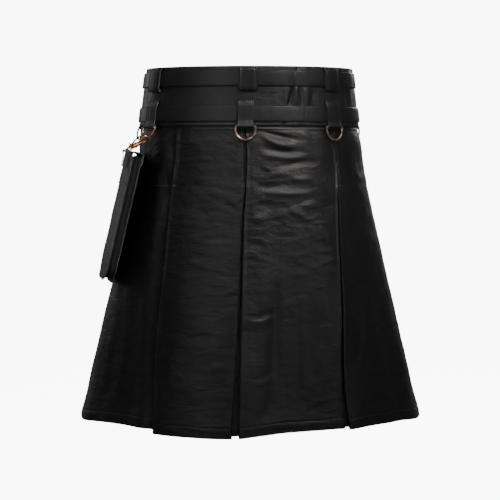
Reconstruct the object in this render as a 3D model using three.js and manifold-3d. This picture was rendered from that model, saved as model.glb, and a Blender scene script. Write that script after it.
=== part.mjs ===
// Leather utility kilt with two strap belts, ring loops and a clip-on hip pocket, as it hangs when worn.
// Millimetres, +Z up. The origin is the middle of the waist at the waistband's top edge.
// Angle t runs round the waist in degrees: 0 at the centre back (-Y), +90 at the wearer's right hip (+X).
import * as THREE from "three";
import { mergeVertices } from "three/addons/utils/BufferGeometryUtils.js";
import Module from "manifold-3d";

// Leather and seams
const SEAM = 0.3; // gap between pieces that are sewn together
const SKIRT_T = 1.6; // skirt leather
const BAND_T = 2.4; // waistband, two layers pasted
const STRAP_T = 2.5; // strap belts
const LOOP_T = 1.8; // belt loops
const POCKET_T = 1.6; // pocket leather

// Waistband, straps and loops, heights from the top edge
const BAND_DEPTH = 99;
const TUCK_GAP = 0.45; // the skirt's clearance beneath the band
const TUCK_DROP = 27; // height over which the skirt comes out level with the band
const BAND_STEP = 5; // degrees between the band's columns
const OVERLAP_END = 235; // both ends of the wrap run this far round
const INSET_BAND = 4.6; // how far the under end of the wrap lies inside, at the band
const INSET_SKIRT = 2.3; // the same in the skirt
const INSET_FROM = 117;
const INSET_TO = 124;
const INSET_LEAD = 4; // degrees the skirt turns in ahead of the band
const STRAPS = [
  { name: "upper", top: -8, bottom: -33 },
  { name: "lower", top: -67, bottom: -91.5 },
];
const STRAP_LIFT = 0.4; // strap's clearance over the band
const LOOP_GAP = 0.45; // loop's clearance over band and strap
// Angles of each upper loop and of the lower loop with its ring
const LOOPS = [
  { name: "back", upper: -0.6, lower: -1.7 },
  { name: "right_rear", upper: 49, lower: 47.4 },
  { name: "right_front", upper: 107, lower: 107 },
  { name: "left_front", upper: -107, lower: -107 },
  { name: "left_rear", upper: -60.3, lower: -59.6 },
];
const UPPER_LOOP_WIDTH = 29.5;
const LOWER_LOOP_WIDTH = 26.6;
const LOOP_TOP = -0.2; // an upper loop's head, sewn flush with the band's top edge
const LOOP_FOOT = -41.4; // turned-under foot of an upper loop
const LOOP_HEAD = -55.4; // stitched head of a lower loop
const RING_WIRE = 1.6; // radius of the ring wire
const RING_BAR_Z = -99.6; // height of the ring's bar in the loop's fold
const RING_HALF = 16.8; // half the ring's width on the wire's centre line
const RING_DROP = 22.65; // ring's depth on the centre line
const RING_CORNER = 3;
const RING_LEAN_PULLED = 22; // degrees the pocket pulls its rings out from hanging

// Sections of the skirt's outer face: half width, depth behind and before, and side shift
const SECTIONS = [
  { z: 5, half: 177.7, back: 127.5, front: 121.5, shift: -0.8 },
  { z: 0, half: 178.2, back: 128, front: 122, shift: -0.9 },
  { z: -50, half: 184.6, back: 131, front: 126, shift: -1.6 },
  { z: -100, half: 190.3, back: 136, front: 129, shift: -1.6 },
  { z: -150, half: 193.2, back: 142, front: 133, shift: 0.8 },
  { z: -200, half: 202.0, back: 149, front: 139, shift: 1.2 },
  { z: -280, half: 219.8, back: 160, front: 149, shift: 1.0 },
  { z: -370, half: 241.0, back: 172, front: 160, shift: 0.4 },
  { z: -460, half: 262.4, back: 184, front: 172, shift: 0.3 },
  { z: -550, half: 283.0, back: 197, front: 181, shift: 0.4 },
  { z: -612, half: 297.0, back: 206, front: 186, shift: 0.5 },
];

// Flutes of the hem: how far the skirt swings out of its section at the hem
const FLUTES = [
  { t: -180, out: 3 },
  { t: -160, out: -3 },
  { t: -140, out: 6 },
  { t: -122, out: 2 },
  { t: -106, out: -6 },
  { t: -90, out: 0 },
  { t: -76, out: 2 },
  { t: -60, out: -7 },
  { t: -47, out: -8 },
  { t: -36, out: 3 },
  { t: -26, out: 15 },
  { t: -15, out: 18 },
  { t: -5, out: 15 },
  { t: 4, out: 4 },
  { t: 13, out: -10 },
  { t: 22, out: -14 },
  { t: 31, out: -9 },
  { t: 38, out: -5 },
  { t: 48, out: -8 },
  { t: 61, out: -8 },
  { t: 76, out: 1 },
  { t: 90, out: 0 },
  { t: 106, out: -6 },
  { t: 122, out: 4 },
  { t: 140, out: 7 },
  { t: 160, out: -2 },
  { t: 180, out: 3 },
];
const FLUTE_TOP = -170; // flutes start here and are full at the hem
const FLUTE_FULL = -610;

// Pleat lines: angle of each join down the skirt
const PLEAT_LEFT = [
  { z: -88, t: -39.9 },
  { z: -130, t: -40.4 },
  { z: -200, t: -41.0 },
  { z: -270, t: -39.6 },
  { z: -347, t: -38.2 },
  { z: -431, t: -37.0 },
  { z: -514, t: -34.8 },
  { z: -606, t: -32.4 },
];
const PLEAT_BACK = [
  { z: -88, t: -2.0 },
  { z: -184, t: -2.4 },
  { z: -268, t: -3.5 },
  { z: -385, t: -3.7 },
  { z: -509, t: -4.2 },
  { z: -608, t: -4.6 },
];
const PLEAT_RIGHT = [
  { z: -88, t: 47.6 },
  { z: -153, t: 48.2 },
  { z: -227, t: 45.2 },
  { z: -304, t: 41.9 },
  { z: -400, t: 38.9 },
  { z: -472, t: 35.9 },
  { z: -545, t: 34.3 },
  { z: -600, t: 33.8 },
];
const PLEAT_SIDE = [
  { z: -88, t: 89 },
  { z: -612, t: 89 },
];
const SLITS = [
  { z: -88, back: 0.3, right: 0.3, side: 0.3 },
  { z: -190, back: 0.3, right: 0.4, side: 0.4 },
  { z: -240, back: 0.5, right: 1.2, side: 0.8 },
  { z: -400, back: 1.3, right: 1.6, side: 1.6 },
  { z: -550, back: 3.2, right: 2.4, side: 2.6 },
  { z: -612, back: 5.2, right: 3.6, side: 3.4 },
];
const FOLD_GAPS = [
  { z: -88, gap: 0.4 },
  { z: -200, gap: 0.5 },
  { z: -400, gap: 1.4 },
  { z: -612, gap: 3.2 },
];
const FOLD_DEPTH = 38; // how far a fold's return runs beneath its panel
const FOLD_SPAN = 17; // degrees clear of a return at the sides, where it covers the most
const RETURN_RISE = 3; // a return's hem lies this much higher than its panel's

// Hem heights by angle, one row of points for each panel
const HEM_BACK_LEFT = [
  { t: -40, z: -602.5 },
  { t: -32, z: -603.6 },
  { t: -18, z: -604.4 },
  { t: -5, z: -605.4 },
];
const HEM_BACK_RIGHT = [
  { t: -4, z: -605.4 },
  { t: 4, z: -602.2 },
  { t: 12, z: -600.2 },
  { t: 22, z: -599.8 },
  { t: 34, z: -598.2 },
];
const HEM_SIDE_LEFT = [
  { t: -90, z: -604.6 },
  { t: -80, z: -604.2 },
  { t: -54, z: -598.4 },
  { t: -43, z: -597.9 },
  { t: -26, z: -598.6 },
];
const HEM_SIDE_RIGHT = [
  { t: 33, z: -600.4 },
  { t: 43, z: -597.9 },
  { t: 60, z: -598.2 },
  { t: 78, z: -602.6 },
  { t: 90, z: -604.0 },
];
const HEM_FRONT = [
  { t: -240, z: -602 },
  { t: -180, z: -601 },
  { t: -91, z: -604.6 },
  { t: 91, z: -604.0 },
  { t: 180, z: -600.5 },
  { t: 240, z: -601 },
];
// Heights of the skirt's rows above the hem
const SKIRT_ROWS = [-88, -101, -126, -190, -260, -330, -400, -470, -540];

// Strap path at the closure: centre-line clearance over the band against the angle round
const STRAP_START = -173.5; // heel bar of the buckle
const CHAPE = 11; // degrees the folded-back end covers
const HEEL_OUT = 4.7; // heel bar's centre over the band
const HEEL_R = 1.5;
const FAR_OUT = 6.15; // far bar's centre over the band
const FRAME_LENGTH = 30;
const FRAME_OVER = 4.5; // frame's inner height beyond the strap
const STRAP_PATH = [
  { t: -168, out: 1.65 },
  { t: -159.5, out: 1.9 },
  { t: -156.5, out: 3.15 },
  { t: -150.5, out: 3.15 },
  { t: -147.5, out: 1.9 },
  { t: -143, out: 1.65 },
  { t: 168, out: 1.65 },
  { t: 177, out: 3.0 },
  { t: 181, out: 3.6 },
  { t: 184.6, out: 10.55 },
  { t: 188, out: 10.55 },
  { t: 193, out: 7.75 },
  { t: 199, out: 7.6 },
  { t: 203.2, out: 6.1 },
  { t: 209.8, out: 6.1 },
  { t: 213, out: 5.0 },
  { t: 219, out: 4.7 },
];
const KEEPER_T = 1.2;
const KEEPER_AT = 206.5;
const KEEPER_WIDTH = 11;

// Pocket: its rear top corner on the body side, its own directions and sizes
const POCKET_CORNER = [-178.6, -102, -150];
const POCKET_TURN = 8.9; // degrees its width turns outward from straight ahead
const POCKET_LEAN = 13.4; // degrees it leans out with the hip
const POCKET_WIDTH = 150;
const POCKET_HEIGHT = 220;
const POCKET_THICK = 16.5;
const POCKET_BOW = 4.2; // how far its middle bows outward
const POCKET_ROUND = 24; // radius of the bottom corners
const GUSSET_INSET = 3.4;
const GUSSET_TOP = 1.5;
const FLAP_DROP = 54;
const FLAP_BACK = 16;
const TAB_WIDTH = 10.5;
const TAB_WIRE = 1.4;

const RAD = Math.PI / 180;
const wasm = await Module();
wasm.setup();

const clamp01 = (v) => Math.min(1, Math.max(0, v));
const mix = (a, b, f) => a + (b - a) * f;
const smooth = (from, to, v) => {
  const f = clamp01((v - from) / (to - from));
  return f * f * (3 - 2 * f);
};

// A smooth curve through one column of a table, level beyond its ends
function curve(table, key, column) {
  const rows = [...table].sort((p, q) => p[key] - q[key]);
  const x = rows.map((r) => r[key]);
  const y = rows.map((r) => r[column]);
  const last = x.length - 1;
  const slope = (i) => {
    if (i === 0 || i === last) return 0;
    const d0 = (y[i] - y[i - 1]) / (x[i] - x[i - 1]);
    const d1 = (y[i + 1] - y[i]) / (x[i + 1] - x[i]);
    return d0 * d1 > 0 ? (2 * d0 * d1) / (d0 + d1) : 0;
  };
  return (at) => {
    if (at <= x[0]) return y[0];
    if (at >= x[last]) return y[last];
    let i = 0;
    while (at > x[i + 1]) i += 1;
    const h = x[i + 1] - x[i];
    const f = (at - x[i]) / h;
    const hermite = (1 + 2 * f) * (1 - f) * (1 - f) * y[i] + f * (1 - f) * (1 - f) * h * slope(i);
    return hermite + f * f * (3 - 2 * f) * y[i + 1] + f * f * (f - 1) * h * slope(i + 1);
  };
}

const section = {
  half: curve(SECTIONS, "z", "half"),
  back: curve(SECTIONS, "z", "back"),
  front: curve(SECTIONS, "z", "front"),
  shift: curve(SECTIONS, "z", "shift"),
};
const flute = curve(FLUTES, "t", "out");
const pleat = {
  left: curve(PLEAT_LEFT, "z", "t"),
  back: curve(PLEAT_BACK, "z", "t"),
  right: curve(PLEAT_RIGHT, "z", "t"),
  side: curve(PLEAT_SIDE, "z", "t"),
};
const slit = {
  back: curve(SLITS, "z", "back"),
  right: curve(SLITS, "z", "right"),
  side: curve(SLITS, "z", "side"),
};
const foldGap = curve(FOLD_GAPS, "z", "gap");
// The gap beneath a return widens from the band to the hem
const underGap = (z) => SEAM + 0.35 * smooth(-110, -240, z) + 0.6 * smooth(-240, -600, z);

// The outward direction of the section at an angle, level
function outward(t, z) {
  const c = Math.cos(t * RAD);
  const depth = c > 0 ? section.back(z) : section.front(z);
  return new THREE.Vector3(Math.sin(t * RAD) / section.half(z), -c / depth, 0).normalize();
}

// A point at an angle and height, out from the section's face
function place(t, z, out) {
  const c = Math.cos(t * RAD);
  const depth = c > 0 ? section.back(z) : section.front(z);
  const wrapped = ((((t + 180) % 360) + 360) % 360) - 180;
  const swing = flute(wrapped) * smooth(FLUTE_TOP, FLUTE_FULL, z);
  const p = new THREE.Vector3(section.shift(z) + section.half(z) * Math.sin(t * RAD), -depth * c, z);
  return p.addScaledVector(outward(t, z), out + swing);
}

// Millimetres a degree covers along the section
function perDegree(t, z) {
  const c = Math.cos(t * RAD);
  const depth = c > 0 ? section.back(z) : section.front(z);
  return Math.hypot(section.half(z) * c, depth * Math.sin(t * RAD)) * RAD;
}

// A mesh geometry from points and faces, turned to face outward
function solidGeometry(points, faces) {
  let volume = 0;
  for (const [a, b, c] of faces) {
    volume += points[a].dot(new THREE.Vector3().crossVectors(points[b], points[c]));
  }
  const index = faces.flatMap(([a, b, c]) => (volume < 0 ? [a, c, b] : [a, b, c]));
  const geometry = new THREE.BufferGeometry();
  const numbers = points.flatMap((p) => p.toArray());
  geometry.setAttribute("position", new THREE.Float32BufferAttribute(numbers, 3));
  geometry.setIndex(index);
  geometry.computeVertexNormals();
  return geometry;
}

// A closed sheet from a grid of point pairs: grid[row][column] = { out, in }
function sheet(grid) {
  const rows = grid.length;
  const cols = grid[0].length;
  const points = grid.flatMap((row) => row.flatMap((pair) => [pair.out, pair.in]));
  const at = (j, i, side) => 2 * (j * cols + i) + side;
  const faces = [];
  const quad = (a, b, c, d) => faces.push([a, b, c], [a, c, d]);
  for (let j = 0; j < rows - 1; j += 1) {
    for (let i = 0; i < cols - 1; i += 1) {
      quad(at(j, i, 0), at(j + 1, i, 0), at(j + 1, i + 1, 0), at(j, i + 1, 0));
      quad(at(j, i, 1), at(j, i + 1, 1), at(j + 1, i + 1, 1), at(j + 1, i, 1));
    }
    quad(at(j, 0, 1), at(j + 1, 0, 1), at(j + 1, 0, 0), at(j, 0, 0));
    quad(at(j, cols - 1, 0), at(j + 1, cols - 1, 0), at(j + 1, cols - 1, 1), at(j, cols - 1, 1));
  }
  for (let i = 0; i < cols - 1; i += 1) {
    quad(at(0, i, 0), at(0, i + 1, 0), at(0, i + 1, 1), at(0, i, 1));
    quad(at(rows - 1, i, 1), at(rows - 1, i + 1, 1), at(rows - 1, i + 1, 0), at(rows - 1, i, 0));
  }
  return solidGeometry(points, faces);
}

// Both faces of a path {a, o} with thickness: a and o are lengths in the plane of the path
function thicken(path, thickness) {
  return path.map((p, i) => {
    const before = path[Math.max(0, i - 1)];
    const after = path[Math.min(path.length - 1, i + 1)];
    const unit = (u, v) => {
      const l = Math.hypot(v.a - u.a, v.o - u.o);
      return { a: (v.a - u.a) / l, o: (v.o - u.o) / l };
    };
    const d0 = i > 0 ? unit(before, p) : unit(p, after);
    const d1 = i < path.length - 1 ? unit(p, after) : unit(before, p);
    const l = Math.hypot(d0.a + d1.a, d0.o + d1.o);
    const na = -(d0.o + d1.o) / l;
    const no = (d0.a + d1.a) / l;
    const half = (thickness / 2) * Math.min(1.35, 2 / l);
    return {
      out: { a: p.a + na * half, o: p.o + no * half },
      in: { a: p.a - na * half, o: p.o - no * half },
    };
  });
}

// A wall round the skirt: pathAt(z) gives its centre line as {t, o, rise}, rows run from the top to the hem
function skirtWall(pathAt, thickness, rows, hemAt) {
  // Thickness is laid off with each point's own scale, so folds stay round anywhere on the section
  const row = (z, atHem) => {
    const path = pathAt(z);
    return path.map((p, i) => {
      const k = perDegree(p.t, z);
      const first = Math.max(0, i - 1);
      const near = path.slice(first, i + 2).map((q) => ({ a: (q.t - p.t) * k, o: q.o }));
      const faces = thicken(near, thickness)[i - first];
      const height = atHem ? hemAt(p.t) + p.rise : z;
      return {
        out: place(p.t + faces.out.a / k, height, faces.out.o),
        in: place(p.t + faces.in.a / k, height, faces.in.o),
      };
    });
  };
  const grid = rows.map((z) => row(z, false));
  if (hemAt) grid.push(row(-602, true));
  return sheet(grid);
}

// The level of the skirt's outer face: tucked beneath the band at the top
const tuck = (z) => -(BAND_T + TUCK_GAP) * (1 - smooth(-101, -101 - TUCK_DROP, z));
const insetBand = (t) => -INSET_BAND * smooth(INSET_FROM, INSET_TO, t);
const insetSkirt = (t, z) => {
  const amount = mix(INSET_BAND, INSET_SKIRT, smooth(-101, -101 - TUCK_DROP, z));
  return -amount * smooth(INSET_FROM - INSET_LEAD, INSET_TO - INSET_LEAD, t);
};
const skirtLevel = (t, z) => tuck(z) + insetSkirt(t, z);

// The join an edge belongs to: returns and underlays take their columns from it
function foldLine(z, t) {
  const lines = [pleat.left(z), pleat.back(z), pleat.right(z), pleat.side(z), -pleat.side(z)];
  return lines.reduce((best, line) => (Math.abs(line - t) < Math.abs(best - t) ? line : best));
}

// A skirt panel with plain or folded edges
function panel({ from, to, foldFrom, foldTo, knife, grid, step, level, hem }) {
  const pathAt = (z) => {
    const gap = foldGap(z);
    const radius = (SKIRT_T + gap) / 2;
    const t0 = from(z);
    const t1 = to(z);
    const k0 = perDegree(foldLine(z, t0), z);
    const k1 = perDegree(foldLine(z, t1), z);
    const mid = (t) => level(t, z) - SKIRT_T / 2;
    const path = [];
    const start = foldFrom ? t0 + (SKIRT_T / 2 + radius) / k0 : t0;
    const stop = foldTo ? t1 - (SKIRT_T / 2 + radius) / k1 : t1;
    if (foldFrom) {
      for (const f of [1, 0.75, 0.5, 0.25]) {
        const t = foldLine(z, t0) + (FOLD_DEPTH * f) / k0;
        path.push({ t, o: mid(t) - 2 * radius, rise: RETURN_RISE * f });
      }
      for (let n = 0; n < 4; n += 1) {
        const turn = (-90 - 45 * n) * RAD;
        const t = start + (radius * Math.cos(turn)) / k0;
        path.push({ t, o: mid(start) - radius + radius * Math.sin(turn), rise: 0 });
      }
    }
    const near = [0.25, 0.5, 0.75, 1].map((f) => FOLD_DEPTH * f);
    const first = foldFrom ? near.map((d) => foldLine(z, t0) + d / k0) : [];
    let last = [];
    if (foldTo) last = near.map((d) => foldLine(z, t1) - d / k1).reverse();
    if (knife) {
      const line = pleat.left(z);
      last = [-0.4, 0, 0.25, 0.5, 0.75].map((f) => line + (FOLD_DEPTH * f) / perDegree(line, z));
    }
    const between = [];
    if (grid) {
      // Columns on whole steps, so the wrapped fronts lie face to face
      const low = foldFrom ? foldLine(z, t0) + FOLD_SPAN : t0;
      const high = foldTo ? foldLine(z, t1) - FOLD_SPAN : t1;
      for (let t = Math.ceil(low / grid) * grid; t < high; t += grid) {
        if (t > t0 && t < t1) between.push(t);
      }
    } else {
      const spread = Math.round((to(-350) - from(-350) - (foldFrom ? 9 : 0) - (foldTo ? 9 : 0)) / step);
      const count = Math.max(1, spread);
      for (let i = 1; i < count; i += 1) between.push(mix(first[first.length - 1], last[0], i / count));
    }
    for (const t of [start, ...first, ...between, ...last, stop]) path.push({ t, o: mid(t), rise: 0 });
    if (foldTo) {
      for (let n = 1; n <= 4; n += 1) {
        const turn = (90 - 45 * n) * RAD;
        const t = stop + (radius * Math.cos(turn)) / k1;
        path.push({ t, o: mid(stop) - radius + radius * Math.sin(turn), rise: 0 });
      }
      for (const f of [0.25, 0.5, 0.75, 1]) {
        const t = foldLine(z, t1) - (FOLD_DEPTH * f) / k1;
        path.push({ t, o: mid(t) - 2 * radius, rise: RETURN_RISE * f });
      }
    }
    return path;
  };
  return skirtWall(pathAt, SKIRT_T, SKIRT_ROWS, hem);
}

// The strip beneath a box pleat, from the end of one return to the end of the other
function underlay(middle, hem) {
  const pathAt = (z) => {
    const depth = 2 * SKIRT_T + foldGap(z) + underGap(z);
    const centre = middle(z);
    const k = perDegree(centre, z);
    const path = [];
    for (let i = 0; i <= 8; i += 1) {
      const t = centre + ((i / 4 - 1) * FOLD_DEPTH) / k;
      path.push({ t, o: skirtLevel(t, z) - depth - SKIRT_T / 2, rise: RETURN_RISE });
    }
    return path;
  };
  return skirtWall(pathAt, SKIRT_T, SKIRT_ROWS, hem);
}

const leather = (color) => new THREE.MeshStandardMaterial({ color, roughness: 0.6 });
const copper = (color) => new THREE.MeshStandardMaterial({ color, roughness: 0.35, metalness: 1 });
const root = new THREE.Group();
function add(name, geometry, material) {
  const mesh = new THREE.Mesh(geometry, material);
  mesh.name = name;
  root.add(mesh);
}

// Skirt panels
const edge = (line, gap, side) => (z) => line(z) + (side * gap(z)) / perDegree(line(z), z);
const hemBackLeft = curve(HEM_BACK_LEFT, "t", "z");
const hemBackRight = curve(HEM_BACK_RIGHT, "t", "z");
const hemSideLeft = curve(HEM_SIDE_LEFT, "t", "z");
const hemSideRight = curve(HEM_SIDE_RIGHT, "t", "z");
const hemFront = curve(HEM_FRONT, "t", "z");
const sideLeft = (z) => -pleat.side(z);

add("panel_back_left", panel({
  from: pleat.left, foldFrom: true, to: edge(pleat.back, slit.back, -1), foldTo: true,
  step: 3.6, level: skirtLevel, hem: hemBackLeft,
}), leather(0x1b1b1c));
add("panel_back_right", panel({
  from: edge(pleat.back, slit.back, 1), foldFrom: true, to: edge(pleat.right, slit.right, -1), foldTo: true,
  step: 3.6, level: skirtLevel, hem: hemBackRight,
}), leather(0x1d1b1b));

// The left side panel runs beneath the back panel's fold as a knife pleat
const knifeLevel = (t, z) => {
  const line = pleat.left(z);
  const k = perDegree(line, z);
  const under = smooth(line - 34 / k, line - 3 / k, t);
  return skirtLevel(t, z) - (2 * SKIRT_T + foldGap(z) + underGap(z)) * under;
};
add("panel_side_left", panel({
  from: edge(sideLeft, slit.side, 1), foldFrom: true,
  to: (z) => pleat.left(z) + FOLD_DEPTH / perDegree(pleat.left(z), z), foldTo: false,
  knife: true, step: 4, level: knifeLevel, hem: hemSideLeft,
}), leather(0x191a1b));
add("panel_side_right", panel({
  from: edge(pleat.right, slit.right, 1), foldFrom: true, to: edge(pleat.side, slit.side, -1), foldTo: true,
  step: 4, level: skirtLevel, hem: hemSideRight,
}), leather(0x1c1b1c));
add("apron_over", panel({
  from: () => -OVERLAP_END, foldFrom: false, to: edge(sideLeft, slit.side, -1), foldTo: true,
  grid: BAND_STEP, level: skirtLevel, hem: hemFront,
}), leather(0x1a1a1b));
add("apron_under", panel({
  from: edge(pleat.side, slit.side, 1), foldFrom: true, to: () => OVERLAP_END, foldTo: false,
  grid: BAND_STEP, level: skirtLevel, hem: hemFront,
}), leather(0x18191a));

add("pleat_back", underlay(pleat.back, () => -605), leather(0x151516));
add("pleat_right", underlay(pleat.right, () => -600), leather(0x151516));
add("pleat_side_left", underlay(sideLeft, () => -604.4), leather(0x151516));
add("pleat_side_right", underlay(pleat.side, () => -604), leather(0x151516));

// Waistband, a single band that wraps over itself at the front
const bandPath = () => {
  const stops = [];
  for (let t = -OVERLAP_END; t <= OVERLAP_END + 0.01; t += BAND_STEP) {
    if (t < INSET_FROM || t > INSET_TO + 2) stops.push(t);
    if (t < INSET_FROM && t + BAND_STEP >= INSET_FROM) {
      for (const f of [0, 0.33, 0.67, 1]) stops.push(mix(INSET_FROM, INSET_TO, f));
    }
  }
  return stops.map((t) => ({ t, o: insetBand(t) - BAND_T / 2, rise: 0 }));
};
add("waistband", skirtWall(bandPath, BAND_T, [0, -50, -BAND_DEPTH], null), leather(0x202021));

// A box laid on the band at an angle and height, to cut a slot
function slot(t, z, length, height, from, to) {
  const box = new THREE.BoxGeometry(length, height, to - from);
  const n = outward(t, z);
  const along = new THREE.Vector3(-n.y, n.x, 0);
  const up = new THREE.Vector3(0, 0, 1);
  const frame = new THREE.Matrix4().makeBasis(along, up, new THREE.Vector3().crossVectors(along, up));
  frame.setPosition(place(t, z, (from + to) / 2));
  return box.applyMatrix4(frame);
}

function toManifold(geometry) {
  const g = geometry.clone();
  g.deleteAttribute("normal");
  g.deleteAttribute("uv");
  const merged = mergeVertices(g, 1e-4);
  return new wasm.Manifold(
    new wasm.Mesh({
      numProp: 3,
      vertProperties: merged.attributes.position.array,
      triVerts: new Uint32Array(merged.index.array),
    }),
  );
}
function fromManifold(solid) {
  const mesh = solid.getMesh();
  const geometry = new THREE.BufferGeometry();
  geometry.setAttribute("position", new THREE.BufferAttribute(new Float32Array(mesh.vertProperties), 3));
  geometry.setIndex(new THREE.BufferAttribute(new Uint32Array(mesh.triVerts), 1));
  geometry.computeVertexNormals();
  return geometry;
}
const cut = (geometry, ...cutters) =>
  fromManifold(cutters.reduce((body, c) => body.subtract(toManifold(c)), toManifold(geometry)));
const join = (first, ...others) =>
  fromManifold(others.reduce((body, p) => body.add(toManifold(p)), toManifold(first)));

// A round rod along points, closed with flat ends or joined into a ring
function rod(points, radius, sides, ring) {
  const count = points.length;
  const tangents = points.map((p, i) => {
    const a = ring ? points[(i + count - 1) % count] : points[Math.max(0, i - 1)];
    const b = ring ? points[(i + 1) % count] : points[Math.min(count - 1, i + 1)];
    return new THREE.Vector3().subVectors(b, a).normalize();
  });
  const plane = new THREE.Vector3();
  for (let i = 1; i < count; i += 1) {
    plane.add(new THREE.Vector3().crossVectors(tangents[i - 1], tangents[i]));
  }
  if (plane.length() < 1e-6) {
    const helper = Math.abs(tangents[0].z) < 0.9 ? new THREE.Vector3(0, 0, 1) : new THREE.Vector3(1, 0, 0);
    plane.crossVectors(tangents[0], helper);
  }
  plane.normalize();
  const radii = typeof radius === "function" ? radius : () => radius;
  const all = [];
  points.forEach((p, i) => {
    const side = new THREE.Vector3().crossVectors(plane, tangents[i]).normalize();
    const up = new THREE.Vector3().crossVectors(tangents[i], side).normalize();
    for (let s = 0; s < sides; s += 1) {
      const turn = (s / sides) * 2 * Math.PI;
      const r = radii(i / (count - 1));
      all.push(p.clone().addScaledVector(side, r * Math.cos(turn)).addScaledVector(up, r * Math.sin(turn)));
    }
  });
  const faces = [];
  const spans = ring ? count : count - 1;
  for (let i = 0; i < spans; i += 1) {
    for (let s = 0; s < sides; s += 1) {
      const a = i * sides + s;
      const b = i * sides + ((s + 1) % sides);
      const c = ((i + 1) % count) * sides + s;
      const d = ((i + 1) % count) * sides + ((s + 1) % sides);
      faces.push([a, c, b], [b, c, d]);
    }
  }
  if (!ring) {
    for (let s = 1; s < sides - 1; s += 1) {
      faces.push([0, s, s + 1]);
      const e = (count - 1) * sides;
      faces.push([e, e + s + 1, e + s]);
    }
  }
  return solidGeometry(all, faces);
}

// Strap belts with a folded-back buckle end
function strapPoints(z) {
  const at = curve(STRAP_PATH, "t", "out");
  const k = perDegree(180, z);
  const bend = HEEL_R + SEAM + STRAP_T / 2;
  const path = [];
  for (const f of [1, 0.66, 0.33]) {
    const t = STRAP_START + CHAPE * mix(0.25, 1, f);
    path.push({ t, o: mix(HEEL_OUT + bend - 1.1, at(t) + STRAP_T + 0.4, clamp01(f * 1.5)), rise: 0 });
  }
  for (let n = 0; n <= 6; n += 1) {
    const turn = (60 + 35 * n) * RAD;
    const t = STRAP_START + (bend * Math.cos(turn)) / k;
    path.push({ t, o: HEEL_OUT + bend * Math.sin(turn), rise: 0 });
  }
  const stops = [-170.5, -168, -164, ...STRAP_PATH.slice(1, 6).map((r) => r.t)];
  for (let t = -138; t < 168; t += 6) stops.push(t);
  stops.push(...STRAP_PATH.slice(6).map((r) => r.t));
  for (const t of stops) path.push({ t, o: at(t), rise: 0 });
  return path;
}

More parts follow.
